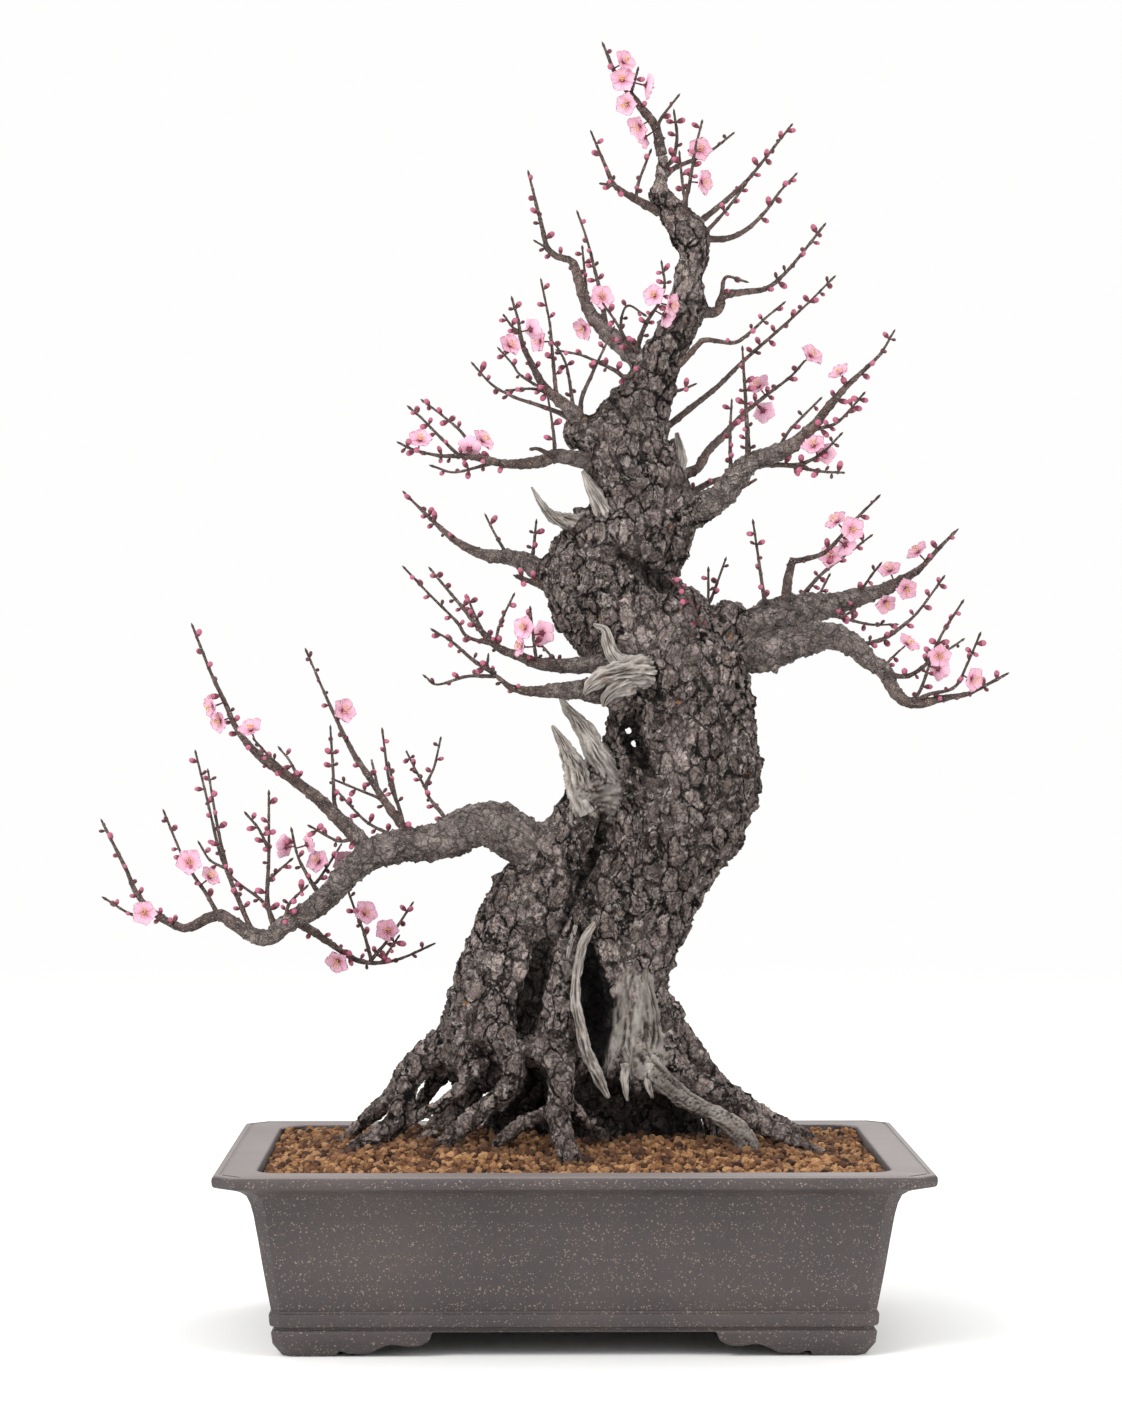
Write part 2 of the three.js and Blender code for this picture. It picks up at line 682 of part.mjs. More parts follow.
// Branches: each has a limb that leaves the trunk and the stems that grow from it.
// A stem is [name, stem that it grows from, depths along it, radii, x and z along it].
const BRANCHES = {
  branch_lower_left: [
    ["limb", "", [0, -20, -30, -12, 10], [21, 1.1],
      [0, 352, -18, 349, -31, 351, -45, 360, -57, 366, -76, 363, -96, 354, -119, 351, -141, 346,
        -160, 333, -175, 317, -188, 305, -202, 297, -212, 291, -219, 284, -230, 284, -246, 293,
        -258, 300, -276, 292, -286, 291, -304, 301, -317, 315, -325, 333, -342, 367]],
    ["outer", "limb", [-16], [1.6, 0.8], [-304, 301, -320, 300, -339, 311]],
    ["a", "limb", [-34], [1.8, 0.8], [-258, 300, -267, 316, -276, 329, -285, 345, -297, 374]],
    ["b", "limb", [34], [2.2, 0.8],
      [-230, 284, -235, 292, -246, 318, -252, 333, -258, 350, -265, 380, -274, 417]],
    ["b_fork", "b", [-2], [1.5, 0.8], [-252, 336, -258, 362, -265, 403]],
    ["b_side", "b", [-6], [1.2, 0.8], [-253, 334, -264, 340, -271, 351]],
    ["c", "limb", [16], [1.9, 0.8], [-216, 292, -225, 309, -239, 320, -251, 330]],
    ["d", "limb", [-58], [2.2, 0.8], [-217, 290, -222, 311, -221, 343, -221, 387]],
    ["d_left", "d", [-76], [1.3, 0.8], [-221, 347, -228, 362, -237, 373]],
    ["d_right", "d", [-22], [1.3, 0.8], [-221, 325, -213, 333, -206, 339]],
    ["e", "limb", [-6], [2, 0.8], [-182, 311, -193, 329, -200, 343, -204, 360]],
    ["e_left", "limb", [-56], [1.7, 0.8], [-209, 294, -206, 308, -194, 320]],
    ["e_right", "e", [10], [1.3, 0.8], [-191, 324, -187, 323, -179, 334, -169, 350]],
    ["fork", "limb", [-72], [2.2, 0.8], [-151, 340, -158, 354, -171, 354, -190, 364]],
    ["front", "limb", [-50, -72, -84], [7.5, 0.9],
      [-129, 349, -143, 343, -157, 357, -175, 375, -193, 391, -210, 403, -228, 416, -244, 435,
        -253, 455, -263, 476, -276, 509]],
    ["front_low", "front", [-96], [1.7, 0.8], [-198, 395, -218, 413, -231, 427]],
    ["front_in", "front", [-40], [1.3, 0.8], [-196, 393, -205, 411, -212, 420]],
    ["front_up", "front", [-22], [1.9, 0.8], [-167, 367, -173, 381, -174, 403, -176, 435]],
    ["back", "limb", [10, 48, 70], [4.2, 0.9],
      [-111, 353, -122, 363, -136, 382, -148, 401, -160, 419, -176, 452, -193, 491]],
    ["back_stub", "back", [30], [1.3, 0.8], [-141, 391, -146, 413]],
    ["back_low", "limb", [34], [1.8, 0.8], [-118, 353, -130, 358, -150, 368, -171, 390]],
    ["back_side", "back", [-8], [1.3, 0.8], [-137, 384, -150, 389, -172, 398]],
    ["h", "limb", [28], [2, 0.8], [-91, 357, -93, 371, -106, 390, -100, 409, -96, 427]],
    ["h_left", "h", [48], [1.2, 0.8], [-105, 389, -114, 406, -120, 418]],
    ["h_front", "limb", [-62], [1.9, 0.8], [-120, 352, -126, 378, -133, 397, -138, 433]],
    ["h_in", "h_front", [-36], [1.2, 0.8], [-128, 384, -133, 408]],
    ["low", "limb", [10, 40, 52], [3.6, 0.9],
      [-203, 296, -189, 288, -179, 281, -157, 267, -139, 265, -122, 269, -102, 278]],
    ["low_a", "low", [10], [1.5, 0.8], [-146, 266, -152, 288, -157, 300, -164, 320]],
    ["low_b", "low", [58], [1.5, 0.8], [-147, 266, -133, 283, -117, 307]],
    ["low_c", "low", [22], [1.2, 0.8], [-139, 265, -127, 283]],
  ],
  branch_right: [
    ["limb", "", [-2, 12, 34, 58, 74], [24, 1.1],
      [92, 500, 112, 499, 130, 504, 146, 516, 160, 521, 177, 524, 197, 528, 213, 533, 227, 537,
        241, 544, 255, 553, 268, 567, 281, 580]],
    ["up_a", "limb", [18], [1.4, 0.8], [209, 532, 206, 523, 197, 517]],
    ["up_b", "limb", [66], [2, 0.8], [174, 523, 197, 517, 218, 512, 236, 512]],
    ["up_c", "limb", [26], [1.5, 0.8], [209, 532, 218, 546, 225, 555]],
    ["snag", "limb", [0], [4.6, 3], [152, 517, 156, 525, 158, 544, 162, 560]],
    ["up_d", "snag", [-36], [2.2, 0.9], [161, 558, 172, 560, 187, 566, 206, 587, 223, 604]],
    ["up_e", "limb", [72], [2.2, 0.8], [160, 522, 181, 547, 201, 563, 218, 576]],
    ["up_f", "limb", [52], [1.4, 0.8], [173, 523, 180, 532, 188, 547]],
    ["up_g", "limb", [-24], [2, 0.8], [144, 514, 141, 530, 137, 558, 133, 585]],
    ["low", "limb", [-18, -42, -62, -76], [17, 1],
      [119, 498, 138, 492, 156, 496, 174, 501, 190, 503, 206, 497, 217, 486, 229, 478, 234, 467,
        241, 458, 254, 454, 271, 458, 289, 461, 304, 468, 317, 475]],
    ["low_a", "low", [-98], [2.2, 0.8],
      [229, 477, 240, 474, 250, 476, 263, 487, 271, 505, 285, 527]],
    ["low_b", "low_a", [-58], [1.2, 0.8], [266, 491, 276, 494, 285, 500]],
    ["low_c", "low", [-26], [1.6, 0.8], [249, 456, 256, 466, 266, 496]],
    ["low_d", "low", [-104], [1.7, 0.8], [251, 456, 262, 461, 280, 466, 289, 482, 298, 503]],
    ["low_e", "low", [4], [2, 0.8], [207, 496, 227, 501, 241, 510, 254, 522, 271, 545]],
    ["low_f", "low", [-30], [1.5, 0.8], [228, 479, 232, 485, 239, 492]],
  ],
  branch_middle_left_back: [
    ["limb", "", [-18, -8, 12, 36], [8.2, 0.9],
      [41, 486, 27, 484, 3, 482, -23, 483, -38, 489, -52, 494, -64, 505, -76, 520, -87, 533,
        -102, 551]],
    ["a", "limb", [-10], [1.6, 0.8], [-56, 497, -76, 503, -84, 514, -103, 533, -121, 552]],
    ["b", "limb", [46], [1.2, 0.8], [-64, 505, -72, 522, -76, 532]],
    ["c", "limb", [-8], [1.3, 0.8], [-56, 497, -52, 513, -43, 532]],
    ["d", "limb", [-30], [1.5, 0.8], [-25, 483, -27, 495, -30, 522]],
    ["e", "limb", [26], [1.3, 0.8], [-5, 482, -12, 486, -23, 498]],
  ],
  branch_middle_left_front: [
    ["limb", "", [-26, -36, -52, -72], [12, 1],
      [39, 465, 28, 463, 3, 464, -23, 463, -42, 465, -52, 472, -61, 480, -61, 488]],
    ["a", "limb", [-96], [2, 0.8], [-56, 476, -72, 486, -87, 499, -100, 507]],
    ["b", "limb", [-44], [1.7, 0.8], [-56, 474, -76, 474, -98, 468, -106, 473]],
  ],
  branch_hook_left: [
    ["limb", "", [4, 28, 56, 84], [9.5, 0.9],
      [-10, 547, -23, 550, -30, 556, -45, 561, -64, 563, -80, 570, -92, 579, -108, 594, -121, 607]],
    ["a", "limb", [34], [1.5, 0.8], [-46, 561, -56, 578, -62, 590]],
    ["b", "limb", [20], [1.9, 0.8], [-30, 555, -28, 565, -26, 585]],
  ],
  branch_shoulder_left: [
    ["limb", "", [-6, -30, -62, -98], [7.4, 0.9],
      [24, 630, 9, 632, -12, 635, -22, 631, -43, 629, -62, 632, -78, 635, -95, 635, -114, 639,
        -125, 644]],
    ["a", "limb", [-24], [1.5, 0.8], [-60, 631, -71, 639, -81, 653, -95, 665, -107, 674]],
    ["b", "limb", [-50], [1.4, 0.8], [-76, 635, -84, 637, -108, 661, -117, 669]],
    ["c", "limb", [-38], [1.4, 0.8], [-56, 630, -68, 627, -86, 623, -100, 627]],
    ["stub", "limb", [-62], [2.4, 1.2], [-12, 634, -24, 640, -30, 640]],
    ["d", "limb", [-44], [1.8, 0.8], [-12, 634, -13, 650, -15, 665, -17, 676]],
  ],
  branch_upper_left_fan: [
    ["limb", "", [-6, 2, -18, -36], [6, 0.9],
      [6, 657, 0, 668, -12, 678, -21, 687, -30, 704, -36, 717, -39, 734, -43, 748]],
    ["a", "limb", [-50], [1.2, 0.8], [-39, 726, -43, 729, -49, 737]],
    ["b", "limb", [14], [1.3, 0.8], [-12, 679, -36, 693, -43, 702, -52, 712]],
    ["c", "limb", [-34], [1.4, 0.8], [-14, 679, -27, 684, -46, 683]],
    ["d", "limb", [26], [1.7, 0.8], [-11, 678, -14, 710, -16, 732, -22, 762]],
    ["e", "limb", [46], [1.6, 0.8], [2, 665, -3, 698, -9, 712, -15, 720]],
  ],
  branch_upper_left_low: [
    ["limb", "", [6, 24, 42], [2.4, 0.8],
      [4, 656, -6, 665, -24, 672, -42, 678, -58, 687, -71, 701]],
  ],
  branch_upper_left_inner: [
    ["limb", "", [-8, -26, -44], [2.4, 0.8], [8, 655, 7, 675, 15, 695, 22, 710, 30, 727]],
  ],
  branch_high_left: [
    ["limb", "", [-10, 12, 30, 46], [9, 0.9],
      [64, 696, 51, 704, 38, 715, 24, 727, 14, 739, 9, 751, 5, 764, 0, 777, -11, 781, -18, 788,
        -22, 804, -31, 840]],
    ["tip", "limb", [34], [1.2, 0.8], [-14, 784, -20, 788, -25, 791]],
    ["a", "limb", [-4], [2.2, 0.8], [26, 726, 21, 754, 16, 775, 11, 794, 5, 811]],
    ["b", "limb", [50], [1.5, 0.8], [12, 744, 10, 765, 8, 786]],
    ["c", "limb", [-40], [1.7, 0.8], [48, 706, 41, 718, 33, 732, 24, 745]],
    ["d", "limb", [-56], [2.2, 0.8], [46, 708, 54, 731, 64, 747, 68, 760, 66, 775]],
    ["e", "limb", [32], [1.5, 0.8], [35, 717, 37, 738, 42, 745, 52, 739]],
  ],
  branch_high_right: [
    ["limb", "", [-14, 4, 26, 42], [4.4, 0.9],
      [86, 740, 99, 740, 107, 742, 111, 752, 126, 755, 143, 758, 160, 773, 184, 803]],
    ["a", "limb", [-8], [2.2, 0.9], [108, 744, 110, 755, 113, 766, 126, 763]],
  ],
  branch_right_front_long: [
    ["limb", "", [-10, -34, -62], [3.4, 0.8],
      [66, 694, 81, 704, 92, 716, 99, 720, 119, 718, 131, 726, 143, 737, 154, 746]],
  ],
  branch_right_back_long: [
    ["limb", "", [-4, 28, 62, 88], [2.9, 0.8],
      [62, 650, 82, 666, 92, 674, 107, 686, 122, 701, 134, 712, 149, 725, 171, 745, 191, 765]],
  ],
  branch_middle_right: [
    ["limb", "", [0, -14, -34, -48, -56], [13, 0.9],
      [76, 590, 95, 597, 109, 606, 119, 617, 129, 629, 143, 635, 160, 642, 176, 656, 188, 671,
        200, 685, 214, 698, 226, 710, 235, 725]],
    ["a", "limb", [-72], [2.6, 0.8], [129, 627, 129, 640, 128, 663, 125, 712]],
    ["b", "limb", [10], [2, 0.8], [117, 615, 116, 640, 116, 654, 117, 674]],
    ["c", "limb", [-4], [1.5, 0.8], [150, 638, 158, 652, 166, 661, 181, 676]],
    ["d", "limb", [-92], [1.7, 0.8], [174, 654, 184, 656, 196, 661, 213, 680]],
    ["e", "limb", [-26, -84], [2.8, 0.8], [134, 630, 145, 629, 160, 628, 181, 624, 198, 623]],
    ["f", "e", [-52], [1.8, 0.8], [160, 628, 170, 630, 183, 637, 196, 650]],
    ["stub", "limb", [-30], [1.8, 1], [122, 611, 128, 614, 135, 618]],
  ],
  branch_middle_right_back: [
    ["limb", "", [4, 30, 56, 72], [4.6, 0.9],
      [74, 619, 86, 623, 93, 627, 100, 639, 112, 651, 126, 666, 143, 680, 160, 693, 169, 703]],
  ],
  branch_top_right_back: [
    ["limb", "", [-16, 8, 44], [3, 0.8],
      [80, 801, 90, 804, 101, 812, 114, 823, 127, 835, 141, 852, 160, 876]],
  ],
  branch_top_right_front: [
    ["limb", "", [-17, -52], [2, 0.8], [92, 797, 100, 801, 113, 815, 126, 832]],
  ],
  branch_top_right_low: [
    ["limb", "", [-16, -8, 12], [3, 0.8],
      [94, 794, 113, 794, 127, 800, 141, 813, 152, 828, 163, 840]],
  ],
  branch_top_left: [
    ["limb", "", [-17, -40, -62], [4, 0.8], [64, 814, 48, 822, 36, 829, 30, 835, 23, 851, 15, 870]],
    ["a", "limb", [-62], [1.2, 0.8], [36, 829, 29, 833, 22, 834]],
    ["b", "limb", [-18], [1.4, 0.8], [47, 822, 49, 835, 57, 856]],
  ],
  branch_top_side: [
    ["limb", "", [-18, 6, 24], [2.6, 0.8], [65, 837, 76, 846, 88, 851, 103, 859, 117, 870]],
    ["a", "limb", [24], [1.3, 0.8], [89, 852, 92, 866, 95, 878]],
  ],
  branch_top_upright: [
    ["limb", "", [-16, -40, -50], [3, 0.8], [84, 800, 83, 821, 86, 833, 91, 863]],
    ["a", "limb", [-22], [1.4, 0.8], [83, 822, 81, 835, 79, 855]],
  ],
};

// Open blossoms: [branch that it grows on, x and z of its middle, how far it turns from
// sideways (0) to the front (-1) or the back (1)].
const BLOSSOMS = [
  ["branch_lower_left", -311, 301, -1],
  ["branch_lower_left", -279, 338, -1],
  ["branch_lower_left", -206, 349, 0.3],
  ["branch_lower_left", -169, 339, -0.5],
  ["branch_lower_left", -165, 449, -1],
  ["branch_lower_left", -260, 452, -0.3],
  ["branch_lower_left", -171, 265, -0.9],
  ["branch_lower_left", -152, 300, -0.6],
  ["branch_right", 195, 585, -0.3],
  ["branch_right", 190, 560, -0.8],
  ["branch_right", 254, 563, -0.3],
  ["branch_right", 234, 547, -0.4],
  ["branch_right", 245, 497, -0.4],
  ["branch_right", 269, 479, 0.6],
  ["branch_right", 291, 472, -0.5],
  ["branch_middle_left_back", -33, 509, -0.7],
  ["branch_middle_left_back", -22, 505, 0.8],
  ["branch_shoulder_left", -111, 644, -0.6],
  ["branch_shoulder_left", -64, 646, -0.5],
  ["branch_upper_left_fan", -45, 715, -0.8],
  ["branch_upper_left_fan", -22, 718, -0.4],
  ["branch_high_left", 9, 727, -0.6],
  ["branch_high_left", 22, 750, -1],
  ["branch_high_left", 73, 744, -0.5],
  ["branch_middle_right_back", 174, 707, -0.5],
  ["branch_middle_right_back", 139, 669, 0.5],
  ["branch_middle_right", 177, 641, -0.7],
  ["trunk", 37, 908, -1],
  ["trunk", 56, 905, 0.2],
  ["branch_top_side", 94, 857, -1],
];

// ---- Growing the tree --------------------------------------------------------------------------
function mix(values, t) {
  const place = t * (values.length - 1);
  const k = Math.min(Math.floor(place), values.length - 2);
  return values[k] + (values[k + 1] - values[k]) * (place - k);
}

// Depth of the plan rows' nearest point to x and z, and where it is.
function nearest(rows, x, z) {
  let best = { gap: Infinity };
  for (let k = 0; k + 1 < rows.length; k++) {
    const [ax, ay, az, ar] = rows[k];
    const [bx, by, bz, br] = rows[k + 1];
    const length = (bx - ax) ** 2 + (bz - az) ** 2;
    const share = ((x - ax) * (bx - ax) + (z - az) * (bz - az)) / length;
    const t = Math.min(Math.max(share, 0), 1);
    const row = [ax + (bx - ax) * t, ay + (by - ay) * t, az + (bz - az) * t, ar + (br - ar) * t];
    const gap = Math.hypot(row[0] - x, row[2] - z);
    if (gap < best.gap) best = { gap, row };
  }
  return best;
}

// Plan rows of a stem: depth runs evenly along it and it thins quickly first, then slowly.
function planRows(depths, [base, tip], flat) {
  const reach = [0];
  for (let i = 2; i < flat.length; i += 2) {
    const step = Math.hypot(flat[i] - flat[i - 2], flat[i + 1] - flat[i - 1]);
    reach.push(reach[reach.length - 1] + step);
  }
  return reach.map((length, k) => {
    const t = length / reach[reach.length - 1];
    const radius = tip + (base - tip) * (1 - t) ** 1.3;
    return [flat[2 * k], mix(depths, t), flat[2 * k + 1], radius];
  });
}

function branchRows(stems) {
  const rows = {};
  for (const [name, parent, depths, radii, flat] of stems) {
    const start = parent ? [nearest(rows[parent], flat[0], flat[1]).row[1]] : [];
    rows[name] = planRows([...start, ...depths], radii, flat);
  }
  return Object.values(rows);
}

function growStem(rows, grow = 0, depth = 1) {
  const widest = Math.max(...rows.map((row) => row[3]));
  const sides = widest > 30 ? 12 : widest > 13 ? 8 : widest > 4 ? 6 : widest > 2.9 ? 5 : 4;
  return stem(rows.map(toSpace), sides, depth, grow);
}

function growRoot(rows, grow = 0) {
  return stem(rows.map(toSpace), rows[0][3] > 7 ? 6 : 5, 1, grow);
}

const shootRows = TRUNK_SHOOTS.map(([depths, radii, flat]) => planRows(depths, radii, flat));

// The mat of buried roots, as one low disc that the anchor wires cross.
function makeRootPad(grow) {
  const rows = [
    [0, 0, padTop - PAD_HEIGHT, padRadius - 8],
    [0, 0, padTop - PAD_HEIGHT * 0.6, padRadius],
    [0, 0, padTop, padRadius - 3],
  ];
  return stem(rows, 14, PAD_DEPTH, grow);
}

function makeTrunk(grow = 0) {
  const wood = [
    makeRootPad(grow),
    growStem(MAIN_TRUNK, grow, 0.9),
    growStem(LEFT_TRUNK, grow, 1),
    growStem(MIDDLE_RIB, grow, 1),
    ...KNOBS.map((rows) => growStem(rows, grow)),
    ...ROOTS.map((rows) => growRoot(rows, grow)),
    ...shootRows.map((rows) => growStem(rows, grow)),
  ];
  const hollow = growStem(HOLLOW, -grow, 3);
  const bare = DEADWOOD.map((rows) => growStem(rows, grow));
  return join([join(wood).subtract(hollow), ...bare]);
}

// Loose soil, level at the wall and heaped a little to the trunk.
function makeSoil() {
  const level = POT_HEIGHT - SOIL_DROP;
  const under = floorTop + FIT;
  const body = POT_HEIGHT - RIM_HEIGHT - FOOT_HEIGHT - BAND_HEIGHT;
  const shoulder = FOOT_HEIGHT + BAND_HEIGHT + body * 0.75;
  const rows = [
    [under, footInset - 8.5 + WALL + 2 * FIT, 14],
    [shoulder - 1, 27.5 + WALL + FIT * 1.5, 16],
    [POT_HEIGHT - RIM_HEIGHT - 4, RIM_WIDTH + FIT * 1.5, 20],
    [level, RIM_WIDTH + FIT, 20],
    [level + SOIL_MOUND * 0.25, RIM_WIDTH + openingY * 0.276, 24],
    [level + SOIL_MOUND * 0.7, RIM_WIDTH + openingY * 0.538, 28],
    [level + SOIL_MOUND, RIM_WIDTH + openingY * 0.772, openingY * 0.16],
  ];
  return vessel(rows);
}

// One blossom: stalk and calyx, then a shallow bowl of five round petals; it grows along +Z.
function blossomGeometry() {
  const reach = BLOSSOM_WIDTH / 2;
  const rows = [
    [0.9, 0, 0],
    [2.4, 4, 0],
    [reach, reach * 0.76, 0.16],
    [1.6, 5.2, 0],
  ];
  const sides = 10;
  const rings = rows.map(([radius, height, lobe]) =>
    Array.from({ length: sides }, (_, i) => {
      const angle = (2 * Math.PI * i) / sides;
      const out = radius * (1 - (i % 2 ? lobe : 0));
      return new THREE.Vector3(out * Math.cos(angle), out * Math.sin(angle), height);
    }),
  );
  return skin(rings);
}

// ---- Assembly ----------------------------------------------------------------------------------
const model = new THREE.Group();
const tree = new THREE.Group();
model.add(tree);

function addPiece(parent, name, geometry, color, roughness, metalness = 0) {
  const material = new THREE.MeshStandardMaterial({ color, roughness, metalness });
  const mesh = new THREE.Mesh(geometry, material);
  mesh.name = name;
  parent.add(mesh);
  return mesh;
}

const trunkSocket = makeTrunk(FIT);
const sides = [
  ["left", -1],
  ["right", 1],
];
let soil = makeSoil().subtract(trunkSocket);
for (const [label, side] of sides) {
  soil = soil.subtract(makeScreen(side, FIT)).subtract(makeClip(side, FIT));
  soil = soil.subtract(makeAnchor(side, FIT));
  addPiece(model, "drainage_screen_" + label, toGeometry(makeScreen(side)), 0x2c2e2c, 0.7);
  addPiece(model, "screen_clip_" + label, toGeometry(makeClip(side)), 0x9a9c9e, 0.4, 1);
  addPiece(model, "anchor_wire_" + label, toGeometry(makeAnchor(side)), 0x8a8076, 0.45, 1);
}
addPiece(model, "pot", toGeometry(makePot()), 0x5f5757, 0.75);
addPiece(model, "soil", toGeometry(soil), 0x96693c, 0.95);
addPiece(tree, "trunk", toGeometry(makeTrunk()), 0x5a504b, 0.9);

const stemRows = { trunk: [MAIN_TRUNK.slice(-6), ...shootRows.slice(-3)] };
for (const [name, stems] of Object.entries(BRANCHES)) {
  stemRows[name] = branchRows(stems);
  const whole = join(stemRows[name].map((rows) => growStem(rows)));
  addPiece(tree, name, toGeometry(whole.subtract(trunkSocket)), 0x78695f, 0.85);
}

BLOSSOMS.forEach(([branch, x, z, turn], index) => {
  const found = stemRows[branch].map((rows) => nearest(rows, x, z));
  const { row } = found.reduce((a, b) => (b.gap < a.gap ? b : a));
  const seat = toSpace(row);
  const out = new THREE.Vector3((x - row[0]) / 8, turn, (z - row[2]) / 8).normalize();
  const name = "blossom_" + String(index + 1).padStart(2, "0");
  const blossom = addPiece(tree, name, blossomGeometry(), 0xebafc8, 0.55);
  blossom.quaternion.setFromUnitVectors(new THREE.Vector3(0, 0, 1), out);
  blossom.position.set(seat[0], seat[1], seat[2]).addScaledVector(out, seat[3] + FIT);
});

// The outline's middle goes to the origin.
const outline = new THREE.Box3().setFromObject(model, true);
model.position.x = -(outline.min.x + outline.max.x) / 2;
model.position.y = -(outline.min.y + outline.max.y) / 2;

export default model;
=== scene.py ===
"""The looks of a flowering apricot bonsai in an unglazed pot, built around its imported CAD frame.

Plan points are in millimetres, as in the CAD source. Meshes are in metres, in the row frame.
"""

import math

import bmesh
import bpy
import numpy as np
from mathutils import Matrix, Vector
from mathutils.bvhtree import BVHTree


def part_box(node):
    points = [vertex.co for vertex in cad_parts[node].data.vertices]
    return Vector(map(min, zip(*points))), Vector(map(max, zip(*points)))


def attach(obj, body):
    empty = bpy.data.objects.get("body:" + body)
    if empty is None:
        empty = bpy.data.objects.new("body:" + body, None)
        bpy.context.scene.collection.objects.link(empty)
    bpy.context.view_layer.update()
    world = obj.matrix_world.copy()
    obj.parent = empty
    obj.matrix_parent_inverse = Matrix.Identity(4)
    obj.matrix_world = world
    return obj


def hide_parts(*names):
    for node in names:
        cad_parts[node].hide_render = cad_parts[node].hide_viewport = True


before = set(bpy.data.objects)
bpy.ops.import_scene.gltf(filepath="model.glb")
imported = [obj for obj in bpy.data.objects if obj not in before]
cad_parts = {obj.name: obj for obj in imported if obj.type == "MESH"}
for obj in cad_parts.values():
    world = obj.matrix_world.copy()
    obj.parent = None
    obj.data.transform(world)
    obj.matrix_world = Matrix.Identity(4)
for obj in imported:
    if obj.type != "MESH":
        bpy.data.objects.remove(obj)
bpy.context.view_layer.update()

MM = 0.001
POT_LOW, POT_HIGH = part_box("pot")
POT_X = (POT_LOW.x + POT_HIGH.x) / 2 / MM  # the pot's middle in the row frame
POT_LENGTH = (POT_HIGH.x - POT_LOW.x) / MM
POT_WIDTH = (POT_HIGH.y - POT_LOW.y) / MM

# ---- The tree's plan ---------------------------------------------------------------------------
# Stems are drawn as x and z on the front elevation, as seen by an eye this far in front, and get
# their depth y: a point that is set back moves out along its line of sight.
EYE = np.array([-40.0, -2717.0, 456.0])
# The trunk, as rows of (x, y, z, radius).
MAIN_TRUNK = [
    (18, 12, 104, 58), (22, 14, 130, 54), (26, 14, 160, 50), (30, 9, 205, 42), (31, 6, 250, 37),
    (45, 4, 300, 42), (62, 2, 340, 45), (79, 0, 380, 52), (87, 0, 412, 52), (89, 0, 442, 45),
    (82, 0, 470, 48), (68, 1, 500, 51), (44, 3, 524, 54), (27, 4, 546, 47), (42, 4, 570, 42),
    (56, 3, 589, 37), (58, 1, 606, 31), (48, -1, 626, 35), (41, -4, 645, 34), (48, -6, 666, 25),
    (57, -8, 686, 19), (62, -10, 701, 17), (71, -11, 716, 14.5), (80, -13, 734, 14.5), (84, -14, 751, 13),
    (86, -15, 769, 10.5), (90, -16, 783, 11.5), (85, -16, 799, 14), (75, -17, 812, 11), (63, -18, 827, 8.5),
    (65, -18, 834, 5.5), (66, -20, 855, 4.2), (61, -23, 876, 3.6), (48, -26, 893, 2.8), (33, -29, 913, 2),
    (24, -32, 933.5, 0.9),
]
# The second trunk, fused to its left.
LEFT_TRUNK = [
    (-52, 10, 160, 32), (-62, 6, 205, 36), (-59, 4, 230, 33), (-54, 2, 254, 31), (-48, 2, 276, 29),
    (-37, 2, 298, 30), (-16, 1, 330, 28), (0, 0, 355, 24), (14, -2, 380, 22), (24, -3, 402, 20),
    (37, -2, 425, 14), (42, -2, 446, 14), (56, -2, 470, 18),
]
# Rows that the wood itself takes in other places: under the overhang and at the roots.
RESHAPED = {
    (68, 1, 500, 51): (67, 1, 496, 46),
    (44, 3, 524, 54): (40, 3, 517, 44),
    (27, 4, 546, 47): (25, 4, 547, 46),
    (18, 12, 104, 58): (18, 16, 104, 50),
    (22, 14, 130, 54): (22, 18, 130, 46),
    (26, 14, 160, 50): (27, 16, 160, 45),
}
LEFT_TRUNK_END = (-56, 10, 178, 25)
# The rib between them.
MIDDLE_RIB = [
    (2, -4, 150, 20), (-6, -14, 190, 17), (-8, -18, 222, 15), (-8, -20, 256, 14), (-5, -18, 286, 12),
    (6, -12, 316, 10), (26, -8, 350, 8),
]
# Burrs where old branches were cut.
KNOBS = [
    [(30, -4, 640, 16), (12, -6, 651, 15), (0, -7, 655, 13), (-4, -7, 657, 8)],
    [(14, 4, 548, 24), (-12, 4, 550, 17), (-26, 5, 551, 10)],
    [(96, 0, 503, 22), (118, -1, 505, 23), (124, -2, 505, 21)],
    [(84, -14, 744, 12), (94, -14, 743, 10), (98, -14, 742, 6)],
    [(86, -16, 796, 12), (96, -15, 796, 7), (101, -15, 796, 5)],
]
